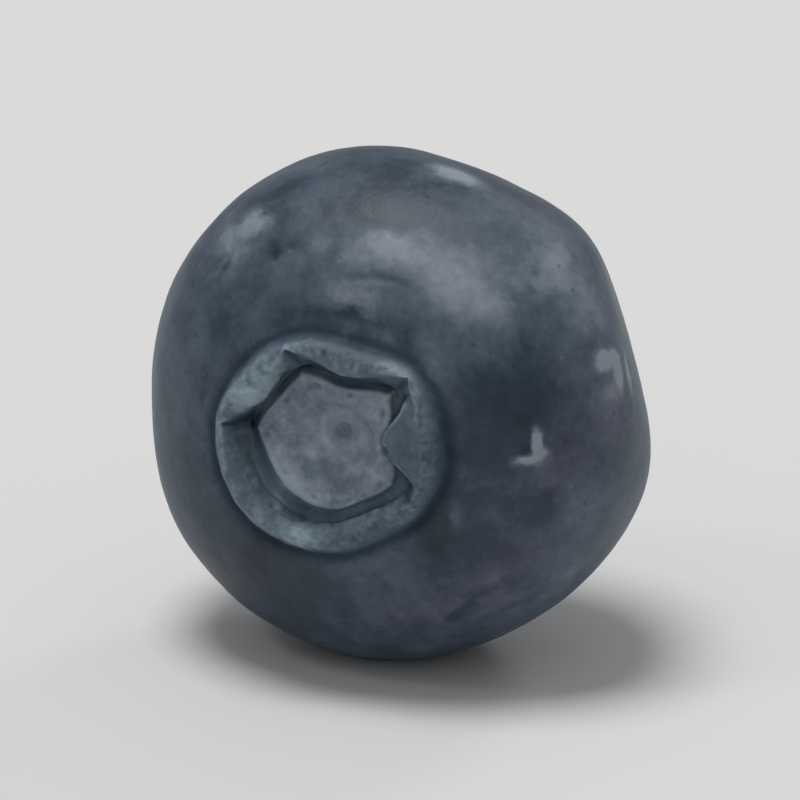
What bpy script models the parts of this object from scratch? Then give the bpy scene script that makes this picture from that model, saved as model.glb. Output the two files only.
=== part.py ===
"""A ripe blueberry, lying on its side with its crown facing forward.

Run it with: blender --background --python part.py

Units are metres and +Z is up. The berry rests on a small flat spot at z = 0, and the
origin is on that plane, under the middle of the berry's box. The fruit is one solid: a
turned body whose crown wall, calyx disc and two scars grow out of the same skin.

The mesh has the berry's own axis along its local +Z, from the stem end to the crown. The
object's rotation lays that axis down, so that the crown faces -Y and looks up a little.
"""

import math

import bmesh
import bpy
from mathutils import Matrix, Vector

MM = 0.001

# Body, measured from the middle of the waist
WAIST_RADIUS = 8.34 * MM
CROWN_REACH = 6.0 * MM  # along the axis to where the body would close under the crown
STEM_REACH = 6.25 * MM  # along the axis to the stem end
FULLNESS = 2.25  # exponent of the outline: 2 is an ellipse, more is fuller at the shoulders

# Crown: a low wall of five lobes that lean in over a groove, round a raised disc
CROWN_FOOT_RADIUS = 4.00 * MM
CREST_RADIUS = 3.40 * MM
CREST_HEIGHT = 6.02 * MM
LIP_RADIUS = 2.98 * MM  # the wall's inner edge, before the lobes lean in
WALL_RADIUS = 3.90 * MM  # the wall's outer side, which doesn't lean
WALL_BASE = 5.30 * MM  # the lobes bend above this height, and nothing moves below it
GROOVE_RADIUS = 2.68 * MM
DISC_RADIUS = 2.46 * MM
DISC_HEIGHT = 5.52 * MM
DISC_MIDDLE_RADIUS = 1.2 * MM  # inside this the disc stays round
STYLE_SCAR_RADIUS = 0.40 * MM
STYLE_SCAR_SHIFT = Vector((0.38 * MM, 0.60 * MM, 0.0))  # off the axis, in the disc
CROWN_STRETCH = Vector((0.995, 0.93, 1.0))  # the crown is wider than it is tall
CROWN_SHIFT = Vector((-0.10 * MM, -0.13 * MM, 0.0))  # it sits a little off the body's axis

# Round the crown, seen from in front of it: the angles of the notches between the lobes, and
# measures that change there. Each is given in the notches, then in the middle of the lobe that
# follows each notch, then how softly it changes between them. Shifts and edges are in mm, and
# heights and depths are shares of the plain outline's.
NOTCH_ANGLES = (47.0, 114.0, 173.0, 270.0, 334.0)
FOOT_SHIFTS = ((0.20, 0.0, 0.06, -0.16, -0.16), (-0.19, 0.0, 0.10, -0.38, 0.0), 2.0)
LIP_HEIGHTS = ((0.52, 0.46, 0.44, 0.85, 0.70), (1.06, 0.98, 0.96, 0.84, 0.92), 0.8)
CREST_HEIGHTS = ((0.98, 0.97, 0.99, 0.99, 0.98), (1.05, 0.98, 1.00, 0.97, 0.96), 1.5)
LIP_SHIFTS = ((0.64, 0.40, 0.26, -0.06, 0.10), (-0.28, -0.58, 0.04, -0.22, -0.10), 0.7)
GROOVE_DEPTHS = ((0.95, 1.55, 1.75, 0.60, 0.45), (0.80, 0.80, 0.80, 0.30, 0.05), 0.6)
DISC_SHIFTS = ((0.30, 0.24, 0.10, -0.08, 0.10), (-0.10, -0.02, -0.34, -0.02, -0.25), 0.9)
# Inner edge of the one lobe that lies on the disc. The other lobes have none inside the crest.
FLAP_EDGES = ((3.45, 3.6, 3.6, 3.6, 3.35), (4.0, 4.0, 4.0, 4.0, 1.92), 1.05)
FLAP_THICKNESS = 0.13 * MM
FLAP_BLEND = (-0.03 * MM, 0.11 * MM)  # the flap's edge rises between these, from its radius
GROOVE_WIDTH = 0.30 * MM  # to either side of GROOVE_RADIUS
GROOVE_BRIM = DISC_HEIGHT - 0.02 * MM  # the groove's depths are measured from here

# Stem end
STEM_DIMPLE_DEPTH = 0.42 * MM
STEM_DIMPLE_RADIUS = 2.2 * MM
STEM_SCAR_RADIUS = 1.15 * MM
STEM_SCAR_DEPTH = 0.28 * MM
STEM_WAVES = ((2, 0.10, 35.0), (3, 0.07, 80.0), (5, 0.04, 10.0))  # as the waist's, of the scar

# The body isn't quite round: waves round the waist, as (count, share of radius, angle)
WAIST_WAVES = ((2, 0.0117, 32.0), (3, 0.0058, 1.0), (5, 0.0030, 50.0))
# Places pressed flat by other berries, as (direction in the mesh, distance from the centre)
PRESSED = (
    (Vector((0.27, 0.92, -0.30)), 8.07 * MM),
    (Vector((0.88, 0.29, -0.38)), 7.74 * MM),
    (Vector((-0.93, -0.06, 0.35)), 8.22 * MM),
    (Vector((0.40, -0.52, -0.76)), 7.11 * MM),
)
PRESSED_EDGE = 0.43 * MM  # how softly a pressed place meets the round body

# Lying down
CROWN_TILT = 5.0  # degrees that the crown looks up from level
FLAT_SPOT_DEPTH = 0.30 * MM

# Fineness of the solid
SEGMENTS = 80
CROWN_STEPS = 2
BODY_STEPS = 26
OUTLINE_GAP = 0.45 * MM  # from the crown's foot, and from the stem's scar, to the body's points
STEM_STEPS = 1
SAME_POINT = 1e-6  # points closer than this are one
SHARP_ANGLE = 60.0  # degrees; edges bent further than this are shaded sharp

SKIN_COLOUR = (0.060, 0.080, 0.115, 1.0)
SKIN_ROUGHNESS = 0.55


def clear_scene():
    """Removes every object that the scene starts with."""
    for obj in list(bpy.data.objects):
        bpy.data.objects.remove(obj, do_unlink=True)


def smooth_line(points, steps):
    """Points on a Catmull-Rom curve through the given (radius, height) points."""
    before = points[0] * 2 - points[1]
    after = points[-1] * 2 - points[-2]
    held = [before, *points, after]
    line = []
    for a, b, c, d in zip(held, held[1:], held[2:], held[3:]):
        for step in range(steps):
            t = step / steps
            line.append(
                (
                    b * 2
                    + (c - a) * t
                    + (a * 2 - b * 5 + c * 4 - d) * t**2
                    + (b * 3 - a - c * 3 + d) * t**3
                )
                / 2
            )
    line.append(points[-1])
    return line


def body_height(radius, reach):
    """Height of the plain body above the waist, at a radius, on the side with this reach."""
    return reach * (1 - (radius / WAIST_RADIUS) ** FULLNESS) ** (1 / FULLNESS)


def crown_outline():
    """The crown from the axis outward: style scar, disc, groove, wall and foot."""
    foot_height = body_height(CROWN_FOOT_RADIUS, CROWN_REACH)
    return [
        Vector((0.0, DISC_HEIGHT - 0.17 * MM)),
        Vector((STYLE_SCAR_RADIUS * 0.5, DISC_HEIGHT - 0.14 * MM)),
        Vector((STYLE_SCAR_RADIUS, DISC_HEIGHT - 0.05 * MM)),
        Vector((0.75 * MM, DISC_HEIGHT)),
        Vector((1.30 * MM, DISC_HEIGHT)),
        Vector((1.95 * MM, DISC_HEIGHT + 0.06 * MM)),
        Vector((DISC_RADIUS - 0.14 * MM, DISC_HEIGHT + 0.05 * MM)),
        Vector((DISC_RADIUS + 0.02 * MM, DISC_HEIGHT - 0.13 * MM)),
        Vector((GROOVE_RADIUS, DISC_HEIGHT - 0.29 * MM)),
        Vector((LIP_RADIUS - 0.10 * MM, DISC_HEIGHT - 0.15 * MM)),
        Vector((LIP_RADIUS - 0.01 * MM, DISC_HEIGHT + 0.10 * MM)),
        Vector((LIP_RADIUS + 0.04 * MM, CREST_HEIGHT - 0.24 * MM)),
        Vector((LIP_RADIUS + 0.18 * MM, CREST_HEIGHT - 0.08 * MM)),
        Vector((CREST_RADIUS, CREST_HEIGHT)),
        Vector((CREST_RADIUS + 0.23 * MM, CREST_HEIGHT - 0.09 * MM)),
        Vector((CREST_RADIUS + 0.40 * MM, CREST_HEIGHT - 0.30 * MM)),
        Vector((CREST_RADIUS + 0.51 * MM, foot_height + 0.05 * MM)),
        Vector((CROWN_FOOT_RADIUS, foot_height - 0.08 * MM)),
    ]


def body_outline():
    """The body from just outside the crown's foot, over the waist, to the stem dimple."""
    crown_side = CROWN_FOOT_RADIUS + OUTLINE_GAP
    stem_side = STEM_SCAR_RADIUS + OUTLINE_GAP
    first = math.atan2(crown_side, body_height(crown_side, CROWN_REACH))
    last = math.pi - math.atan2(stem_side, body_height(stem_side, STEM_REACH))
    line = []
    for step in range(BODY_STEPS + 1):
        angle = first + (last - first) * step / BODY_STEPS
        reach = CROWN_REACH if angle < math.pi / 2 else STEM_REACH
        across = abs(math.sin(angle)) / WAIST_RADIUS
        along = abs(math.cos(angle)) / reach
        distance = (across**FULLNESS + along**FULLNESS) ** (-1 / FULLNESS)
        radius = distance * math.sin(angle)
        height = distance * math.cos(angle)
        if height < 0:
            height += stem_dimple(radius)
        line.append(Vector((radius, height)))
    return line


def stem_dimple(radius):
    """How far the skin is drawn in at this radius round the stem's scar."""
    return STEM_DIMPLE_DEPTH * math.exp(-((radius / STEM_DIMPLE_RADIUS) ** 2))


def stem_outline():
    """The stem's scar from its raised lip to the small pit on the axis."""

    def below(radius, depth):
        height = -body_height(radius, STEM_REACH) + stem_dimple(radius)
        return Vector((radius, height + depth))

    return [
        below(STEM_SCAR_RADIUS + 0.18 * MM, -0.05 * MM),
        below(STEM_SCAR_RADIUS, 0.0),
        below(STEM_SCAR_RADIUS - 0.16 * MM, STEM_SCAR_DEPTH * 0.75),
        below(0.70 * MM, STEM_SCAR_DEPTH),
        below(0.36 * MM, STEM_SCAR_DEPTH * 0.85),
        below(0.20 * MM, STEM_SCAR_DEPTH * 1.30),
        below(0.0, STEM_SCAR_DEPTH * 1.50),
    ]


def turn(outline):
    """The outline turned round the local Z axis, as a closed mesh."""
    profile = bpy.data.meshes.new("outline")
    corners = [(point.x, 0.0, point.y) for point in outline]
    profile.from_pydata(corners, [(i, i + 1) for i in range(len(corners) - 1)], [])
    turned = bpy.data.objects.new("turned_outline", profile)
    bpy.context.scene.collection.objects.link(turned)
    screw = turned.modifiers.new("Turn", "SCREW")
    screw.steps = SEGMENTS
    screw.render_steps = SEGMENTS
    screw.use_merge_vertices = True
    screw.merge_threshold = SAME_POINT
    bpy.context.view_layer.update()
    graph = bpy.context.evaluated_depsgraph_get()
    mesh = bpy.data.meshes.new_from_object(turned.evaluated_get(graph))
    bpy.data.objects.remove(turned, do_unlink=True)
    bpy.data.meshes.remove(profile)
    return mesh


def round_ring(angle, measure):
    """A measure of the crown at an angle in degrees."""
    at_notches, at_middles, softness = measure
    rows = range(len(NOTCH_ANGLES))
    row = min(rows, key=lambda i: (angle - NOTCH_ANGLES[i]) % 360)
    following = (row + 1) % len(rows)
    width = (NOTCH_ANGLES[following] - NOTCH_ANGLES[row]) % 360
    across = (angle - NOTCH_ANGLES[row]) % 360 / width
    notch = at_notches[row] + (at_notches[following] - at_notches[row]) * across
    arch = max(0.0, math.sin(math.pi * across))
    return notch + (at_middles[row] - notch) * arch**softness


def soft_step(low, high, value):
    """0 below low, 1 above high, and a smooth rise between them."""
    t = min(1.0, max(0.0, (value - low) / (high - low)))
    return t * t * (3 - 2 * t)


def lay_flap(radius, angle, height):
    """The height, with the lobe that points at the style's scar laid over groove and disc."""
    edge = round_ring(angle, FLAP_EDGES) * MM
    if radius > CREST_RADIUS or radius < edge + FLAP_BLEND[0]:
        return height
    low = DISC_HEIGHT + FLAP_THICKNESS
    high = WALL_BASE + (CREST_HEIGHT - WALL_BASE) * round_ring(angle, CREST_HEIGHTS)
    raised = low + (high - low) * (radius - edge) / (CREST_RADIUS - edge)
    flap = soft_step(edge + FLAP_BLEND[0], edge + FLAP_BLEND[1], radius)
    return height + max(0.0, raised - height) * flap


def shape_crown(point):
    """Bends the turned wall into lobes and gives the disc its five blunt corners."""
    radius = math.hypot(point.x, point.y)
    if radius < SAME_POINT or radius > CROWN_FOOT_RADIUS or point.z < 0:
        return point
    angle = math.degrees(math.atan2(point.y, point.x))
    moved, height = radius, point.z
    in_groove = math.exp(-(((radius - GROOVE_RADIUS) / GROOVE_WIDTH) ** 2))
    sunk = max(0.0, GROOVE_BRIM - height)
    height -= sunk * (round_ring(angle, GROOVE_DEPTHS) - 1) * in_groove
    if radius > GROOVE_RADIUS and point.z > WALL_BASE:
        rise = (point.z - WALL_BASE) / (CREST_HEIGHT - WALL_BASE)
        inner = 1 - soft_step(LIP_RADIUS, WALL_RADIUS, radius)
        on_lip = 1 - soft_step(LIP_RADIUS, CREST_RADIUS, radius)
        lip, crest = round_ring(angle, LIP_HEIGHTS), round_ring(angle, CREST_HEIGHTS)
        height += (point.z - WALL_BASE) * (crest + (lip - crest) * on_lip - 1)
        moved += round_ring(angle, LIP_SHIFTS) * MM * inner * rise
    elif radius < LIP_RADIUS:
        inner = soft_step(DISC_MIDDLE_RADIUS, DISC_RADIUS, radius)
        outer = 1 - soft_step(DISC_RADIUS, LIP_RADIUS, radius)
        moved += round_ring(angle, DISC_SHIFTS) * MM * inner * outer
    height = lay_flap(radius, angle, height)
    return Vector((point.x * moved / radius, point.y * moved / radius, height))


def set_crown(point):
    """Draws the crown's foot in and out, and sets the crown and its scar off the axis."""
    if point.z < 0:
        return point
    radius, angle = math.hypot(point.x, point.y), math.atan2(point.y, point.x)
    scar = 1 - soft_step(STYLE_SCAR_RADIUS, DISC_RADIUS * 0.8, radius)
    crown = 1 - soft_step(CROWN_FOOT_RADIUS, WAIST_RADIUS * 0.8, radius)
    wall = soft_step(DISC_MIDDLE_RADIUS, LIP_RADIUS, radius) * crown
    out = round_ring(math.degrees(angle), FOOT_SHIFTS) * MM * wall
    point = point + STYLE_SCAR_SHIFT * scar
    point += Vector((math.cos(angle), math.sin(angle), 0.0)) * out
    return point.lerp(point * CROWN_STRETCH + CROWN_SHIFT, crown)


def swell_at(waves, angle):
    """How much further out than round, as a share, these waves reach at an angle."""
    return sum(
        share * math.cos(count * (angle - math.radians(start)))
        for count, share, start in waves
    )


def shape_body(point):
    """Takes the body out of round: waves round waist and scar, then the pressed places."""
    radius = math.hypot(point.x, point.y)
    angle = math.atan2(point.y, point.x)
    swell = swell_at(WAIST_WAVES, angle) * (radius / WAIST_RADIUS) ** 2
    if point.z < 0:
        scar = 1 - soft_step(STEM_SCAR_RADIUS, STEM_DIMPLE_RADIUS * 1.5, radius)
        swell += swell_at(STEM_WAVES, angle) * scar
    point = Vector((point.x * (1 + swell), point.y * (1 + swell), point.z))
    for direction, distance in PRESSED:
        facing = direction.normalized()
        over = (point.dot(facing) - distance) / PRESSED_EDGE
        point = point - facing * (PRESSED_EDGE * math.log1p(math.exp(over)))
    return point


def cut_flat_spot(mesh, lay_down):
    """Cuts the small flat spot that the berry rests on, level once it is laid down."""
    up = lay_down.transposed() @ Vector((0.0, 0.0, 1.0))
    lowest = min(vertex.co.dot(up) for vertex in mesh.vertices)
    solid = bmesh.new()
    solid.from_mesh(mesh)
    bmesh.ops.remove_doubles(solid, verts=solid.verts, dist=SAME_POINT)
    cut = bmesh.ops.bisect_plane(
        solid,
        geom=[*solid.verts, *solid.edges, *solid.faces],
        dist=SAME_POINT,
        plane_co=up * (lowest + FLAT_SPOT_DEPTH),
        plane_no=-up,
        clear_outer=True,
    )
    rim = [item for item in cut["geom_cut"] if isinstance(item, bmesh.types.BMEdge)]
    bmesh.ops.edgeloop_fill(solid, edges=rim)
    bmesh.ops.recalc_face_normals(solid, faces=solid.faces)
    solid.to_mesh(mesh)
    solid.free()


def skin_material():
    """The waxy blue skin."""
    skin = bpy.data.materials.new("Waxy blue skin")
    skin.use_nodes = True
    shader = skin.node_tree.nodes["Principled BSDF"]
    shader.inputs["Base Color"].default_value = SKIN_COLOUR
    shader.inputs["Roughness"].default_value = SKIN_ROUGHNESS
    shader.inputs["Metallic"].default_value = 0.0
    return skin


def box_of(obj):
    """Lowest and highest corner of an object's mesh, in world space."""
    corners = [obj.matrix_world @ vertex.co for vertex in obj.data.vertices]
    low = Vector(map(min, zip(*corners)))
    high = Vector(map(max, zip(*corners)))
    return low, high


def build_blueberry():
    """Makes the berry and lays it on the plane z = 0, centred over the origin."""
    mesh = turn([*smooth_line(crown_outline(), CROWN_STEPS), *body_outline(),
                 *smooth_line(stem_outline(), STEM_STEPS)])
    mesh.name = "blueberry"
    for vertex in mesh.vertices:
        vertex.co = shape_body(set_crown(shape_crown(vertex.co)))
    lay_down = Matrix.Rotation(math.radians(90 - CROWN_TILT), 3, "X")
    cut_flat_spot(mesh, lay_down)
    mesh.shade_smooth()
    mesh.set_sharp_from_angle(angle=math.radians(SHARP_ANGLE))
    mesh.materials.append(skin_material())

    berry = bpy.data.objects.new("blueberry", mesh)
    parts = bpy.data.collections.new("Blueberry")
    bpy.context.scene.collection.children.link(parts)
    parts.objects.link(berry)
    berry.rotation_euler = lay_down.to_euler()
    bpy.context.view_layer.update()
    low, high = box_of(berry)
    berry.location = (-(low.x + high.x) / 2, -(low.y + high.y) / 2, -low.z)
    return berry


def main():
    """Builds the whole object."""
    clear_scene()
    build_blueberry()


main()
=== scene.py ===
"""A ripe blueberry on its side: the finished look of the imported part.

The fruit's own axes are the part's. Its own +Z runs from the stem end to the crown, and the
finished piece is laid down so that the crown faces -Y. The node trees work in millimetres on
those axes, and their last steps bring the piece to metres and to its place.
"""

from __future__ import annotations

import logging
import math
import operator
from dataclasses import dataclass, field
from enum import Enum
from functools import reduce
from typing import Any, Sequence, Union

import bpy
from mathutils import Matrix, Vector


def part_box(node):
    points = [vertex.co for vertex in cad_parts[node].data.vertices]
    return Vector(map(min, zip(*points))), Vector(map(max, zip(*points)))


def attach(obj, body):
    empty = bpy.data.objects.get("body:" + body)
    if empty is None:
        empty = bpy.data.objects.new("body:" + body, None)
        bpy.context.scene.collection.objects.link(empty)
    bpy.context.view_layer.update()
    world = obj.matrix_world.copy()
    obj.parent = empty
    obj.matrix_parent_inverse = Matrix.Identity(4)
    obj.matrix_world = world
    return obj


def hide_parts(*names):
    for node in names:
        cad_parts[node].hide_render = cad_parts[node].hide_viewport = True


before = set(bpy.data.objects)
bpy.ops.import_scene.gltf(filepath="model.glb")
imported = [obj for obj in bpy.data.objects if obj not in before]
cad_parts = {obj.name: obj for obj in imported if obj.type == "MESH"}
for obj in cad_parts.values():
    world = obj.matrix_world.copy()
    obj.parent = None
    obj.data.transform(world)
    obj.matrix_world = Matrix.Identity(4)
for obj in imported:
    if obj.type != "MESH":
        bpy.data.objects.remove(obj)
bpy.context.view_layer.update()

LOG = logging.getLogger("blueberry")
NODE = "blueberry"
BODY = "root"
MM = 0.001
TURN = 2 * math.pi
OWN_PLACE = "own_place"  # mm in the fruit's own axes
OUTLINE_PLACE = "outline_place"  # radius and height on the plain outline, and the lobe's share
CROWN_PARTS = "crown_parts"  # shares of disc, groove and the lobe that lies on the disc
RIDGE = "ridge"  # above 0 on edges and bumps, below 0 in grooves

Point = tuple[float, float]
Place = tuple[float, float, float]
Colour = tuple[float, float, float]
Value = Union["Flow", float]
Inputs = dict[str, "Flow"]
Sections = Sequence[tuple["Flow", "Flow", "Flow"]]


class TreeKind(Enum):
    """The two kinds of node tree that the script builds."""

    FORM = "GeometryNodeTree"
    SHADER = "ShaderNodeTree"


@dataclass(frozen=True)
class Pattern:
    """One noise: the length of its waves in mm, which one it is, and its finer layers."""

    size: float
    seed: float = 0.0
    detail: float = 2.0
    roughness: float = 0.5
    distortion: float = 0.0


class Flow:
    """One output of a node, which takes part in arithmetic as a number does."""

    def __init__(self, wires: Wires, socket: bpy.types.NodeSocket) -> None:
        """Keeps the output and the builder of its tree.

        Args:
            wires: the builder of the tree that the node is in.
            socket: the node's output.
        """
        self.wires = wires
        self.socket = socket

    def __add__(self, other: Value) -> Flow:
        """The sum."""
        return self.wires.math("ADD", self, other)

    def __sub__(self, other: Value) -> Flow:
        """The difference."""
        return self.wires.math("SUBTRACT", self, other)

    def __rsub__(self, other: Value) -> Flow:
        """The difference, from a number."""
        return self.wires.math("SUBTRACT", other, self)

    def __mul__(self, other: Value) -> Flow:
        """The product."""
        return self.wires.math("MULTIPLY", self, other)

    def __truediv__(self, other: Value) -> Flow:
        """The quotient."""
        return self.wires.math("DIVIDE", self, other)

    def __rtruediv__(self, other: Value) -> Flow:
        """The quotient of a number by this."""
        return self.wires.math("DIVIDE", other, self)

    def __pow__(self, other: Value) -> Flow:
        """The power."""
        return self.wires.math("POWER", self, other)

    def __neg__(self) -> Flow:
        """The same with the other sign."""
        return self.wires.math("MULTIPLY", self, -1.0)

    def __lt__(self, other: Value) -> Flow:
        """1 where this is less, else 0."""
        return self.wires.math("LESS_THAN", self, other)

    def __gt__(self, other: Value) -> Flow:
        """1 where this is more, else 0."""
        return self.wires.math("GREATER_THAN", self, other)

    __radd__ = __add__
    __rmul__ = __mul__


class Wires:
    """Adds nodes to one tree and joins them up."""

    def __init__(self, tree: bpy.types.NodeTree) -> None:
        """Starts on a tree.

        Args:
            tree: the shader or geometry tree that gets the nodes.
        """
        self.tree = tree
        self.inputs: dict[str, Flow] = {}
        self.identifiers: dict[str, str] = {}

    @classmethod
    def group(
        cls,
        name: str,
        kind: TreeKind,
        inputs: Sequence[tuple[str, str]],
        outputs: Sequence[tuple[str, str]],
    ) -> Wires:
        """Starts a node group with named inputs and outputs.

        Args:
            name: the group's name.
            kind: the kind of tree.
            inputs: (name, socket type) of each input, the type without its NodeSocket prefix.
            outputs: the same for each output.

        Returns:
            The builder, with the inputs in its inputs dict.
        """
        tree = bpy.data.node_groups.new(name, kind.value)
        wires = cls(tree)
        for label, socket_type in inputs:
            made = tree.interface.new_socket(
                name=label, in_out="INPUT", socket_type="NodeSocket" + socket_type
            )
            wires.identifiers[label] = made.identifier
        for label, socket_type in outputs:
            tree.interface.new_socket(
                name=label, in_out="OUTPUT", socket_type="NodeSocket" + socket_type
            )
        entry = tree.nodes.new("NodeGroupInput")
        for (label, _), socket in zip(inputs, entry.outputs):
            wires.inputs[label] = Flow(wires, socket)
        return wires

    def finish(self, *values: Flow) -> None:
        """Joins the group's outputs, in order."""
        self.add("NodeGroupOutput", *values)

    def feed(self, socket: bpy.types.NodeSocket, value: Any) -> None:
        """Links a flow to an input, or sets the input's own value.

        Args:
            socket: the input.
            value: a flow, a plain value, or None to leave the input as it is.
        """
        if isinstance(value, Flow):
            self.tree.links.new(value.socket, socket)
        elif value is not None:
            socket.default_value = value

    def add(
        self,
        kind: str,
        *values: Any,
        named: dict[str | int, Any] | None = None,
        out: int = 0,
        **settings: Any,
    ) -> Flow:
        """Adds one node.

        Args:
            kind: Blender's name of the node type.
            values: what goes to its inputs, in order.
            named: what goes to inputs by name or number.
            out: the number of the output to return.
            settings: properties of the node, set before its inputs.

        Returns:
            The chosen output.
        """
        node = self.tree.nodes.new(kind)
        for key, value in settings.items():
            setattr(node, key, value)
        for socket, value in zip(node.inputs, values):
            self.feed(socket, value)
        for key, value in (named or {}).items():
            self.feed(node.inputs[key], value)
        return Flow(self, node.outputs[out]) if len(node.outputs) else Flow(self, None)

    def beside(self, flow: Flow, out: int) -> Flow:
        """Another output of the node that a flow comes from."""
        return Flow(self, flow.socket.node.outputs[out])

    def math(self, operation: str, *values: Value) -> Flow:
        """Adds a Math node."""
        return self.add("ShaderNodeMath", *values, operation=operation)

    def vector(self, operation: str, *values: Any) -> Flow:
        """Adds a Vector Math node and returns its number where the operation gives one."""
        number = operation in {"DOT_PRODUCT", "LENGTH", "DISTANCE"}
        return self.add("ShaderNodeVectorMath", *values, out=int(number), operation=operation)

    def scaled(self, vector: Any, factor: Value) -> Flow:
        """A vector times a number."""
        return self.add(
            "ShaderNodeVectorMath", vector, named={"Scale": factor}, operation="SCALE"
        )

    def join(self, x: Value, y: Value, z: Value) -> Flow:
        """A vector from its three parts."""
        return self.add("ShaderNodeCombineXYZ", x, y, z)

    def split(self, vector: Flow) -> tuple[Flow, Flow, Flow]:
        """The three parts of a vector."""
        x = self.add("ShaderNodeSeparateXYZ", vector)
        return x, self.beside(x, 1), self.beside(x, 2)

    def smooth(self, low: Value, high: Value, value: Value) -> Flow:
        """0 below low, 1 above high, and a smooth rise between them."""
        return self.add(
            "ShaderNodeMapRange", value, low, high, 0.0, 1.0, interpolation_type="SMOOTHSTEP"
        )

    def fall(self, low: Value, high: Value, value: Value) -> Flow:
        """1 below low, 0 above high, and a smooth fall between them."""
        return 1.0 - self.smooth(low, high, value)

    def facing(self, angle: Flow) -> Flow:
        """The direction out from the axis at an angle in radians."""
        return self.join(self.math("COSINE", angle), self.math("SINE", angle), 0.0)

    def around(self, radius: Flow, facing: Flow, height: Flow) -> Flow:
        """The place at a radius and a height in a direction out from the axis."""
        return self.vector("ADD", self.scaled(facing, radius), self.join(0.0, 0.0, height))

    def angle_of(self, place: Flow) -> Flow:
        """The angle round the axis, in radians."""
        x, y, _ = self.split(place)
        return self.math("ARCTAN2", y, x)

    def mix(self, share: Value, a: Value, b: Value) -> Flow:
        """A number that goes from a to b as share goes from 0 to 1."""
        return self.add("ShaderNodeMix", share, named={2: a, 3: b}, data_type="FLOAT")

    def mix_colour(self, share: Value, a: Any, b: Any, way: str = "MIX") -> Flow:
        """A colour that goes from a to b as share goes from 0 to 1.

        Args:
            share: how much of b shows.
            a: the first colour.
            b: the second colour.
            way: the blend type.

        Returns:
            The mixed colour.
        """
        a, b = (v if isinstance(v, Flow) else (*v, 1.0) for v in (a, b))
        return self.add(
            "ShaderNodeMix", share, named={6: a, 7: b}, out=2, data_type="RGBA", blend_type=way
        )

    def tinted(self, share: Value, colour: Flow, tint: Colour) -> Flow:
        """A colour times a tint where share is 1, and as it is where share is 0."""
        return self.mix_colour(share, colour, self.mix_colour(1.0, colour, tint, "MULTIPLY"))

    def bell(self, *steps: Value) -> Flow:
        """exp(-(a^2 + b^2 ...)): 1 where every step is 0, fading to 0 away from there."""
        squares = [step * step for step in steps]
        return self.math("EXPONENT", -reduce(operator.add, squares))

    def texture(self, place: Any, pattern: Pattern, seed: Value, unit: Value = 1.0) -> Flow:
        """Adds a noise node.

        Args:
            place: where it is read, in mm.
            pattern: which noise.
            seed: what is added to the pattern's own seed.
            unit: what the pattern's size is a share of, or 1 where it is in mm.

        Returns:
            The noise, between 0 and 1. The node's second output is a vector of such noises.
        """
        return self.add(
            "ShaderNodeTexNoise",
            named={
                "Vector": place,
                "W": seed + pattern.seed,
                "Scale": 1.0 / (unit * pattern.size),
                "Detail": pattern.detail,
                "Roughness": pattern.roughness,
                "Distortion": pattern.distortion,
            },
            noise_dimensions="4D",
        )

    def noise(self, place: Any, pattern: Pattern, seed: Value, unit: Value = 1.0) -> Flow:
        """A noise node's noise, brought to where it mostly lies between -1 and 1."""
        return self.texture(place, pattern, seed, unit) * 4.0 - 2.0

    def shaken(self, place: Flow, pattern: Pattern, seed: Value, reach: Value) -> Flow:
        """A place moved a little by noise, so that what is read there has ragged edges.

        Args:
            place: the place, in mm.
            pattern: which noise.
            seed: what is added to the pattern's own seed.
            reach: twice how far the place can move along each axis, in mm.

        Returns:
            The moved place.
        """
        noise = self.beside(self.texture(place, pattern, seed), 1)
        shift = self.vector("SUBTRACT", noise, (0.5, 0.5, 0.5))
        return self.moved(place, shift, reach)

    def moved(self, place: Flow, direction: Any, distance: Value) -> Flow:
        """A place moved by a direction times a distance."""
        return self.vector("ADD", place, self.scaled(direction, distance))

    def random(self, low: Any, high: Any, seed: Value) -> Flow:
        """A random number or vector for each point.

        Args:
            low: the least that it can be: a number or a tuple of three.
            high: the most that it can be, given in the same way.
            seed: which numbers.

        Returns:
            The number or the vector.
        """
        if isinstance(low, tuple):
            kind, first, out = "FLOAT_VECTOR", 0, 0
        else:
            kind, first, out = "FLOAT", 2, 1
        return self.add(
            "FunctionNodeRandomValue",
            named={first: low, first + 1: high, "Seed": seed},
            out=out,
            data_type=kind,
        )

    def keep(self, geometry: Flow, name: str, value: Flow, kind: str = "FLOAT_VECTOR") -> Flow:
        """Stores a named attribute on the points.

        Args:
            geometry: what gets it.
            name: the attribute's name.
            value: its value.
            kind: its data type, a vector unless this says otherwise.

        Returns:
            The geometry with the attribute.
        """
        return self.add(
            "GeometryNodeStoreNamedAttribute",
            geometry,
            named={"Name": name, "Value": value},
            data_type=kind,
            domain="POINT",
        )

    def kept(self, name: str) -> Flow:
        """Reads a named vector in a geometry tree."""
        return self.add("GeometryNodeInputNamedAttribute", name, data_type="FLOAT_VECTOR")

    def shown(self, name: str, out: int = 1) -> Flow:
        """Reads a named attribute in a material: a vector, or a number where out is 2."""
        return self.add("ShaderNodeAttribute", attribute_name=name, out=out)


def smooth_line(points: Sequence[Point], steps: Sequence[int]) -> list[Point]:
    """Points on a Catmull-Rom curve through the given (radius, height) points.

    Args:
        points: the points that it passes through.
        steps: how many steps to take from each point to the next.

    Returns:
        The finer line.
    """
    held = [Vector(point) for point in points]
    held = [held[0] * 2 - held[1], *held, held[-1] * 2 - held[-2]]
    line = []
    for (a, b, c, d), count in zip(zip(held, held[1:], held[2:], held[3:]), steps):
        for step in range(count):
            t = step / count
            turn = (a * 2 - b * 5 + c * 4 - d) * t**2 + (b * 3 - a - c * 3 + d) * t**3
            line.append(tuple((b * 2 + (c - a) * t + turn) / 2))
    line.append(tuple(held[-2]))
    return line


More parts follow.
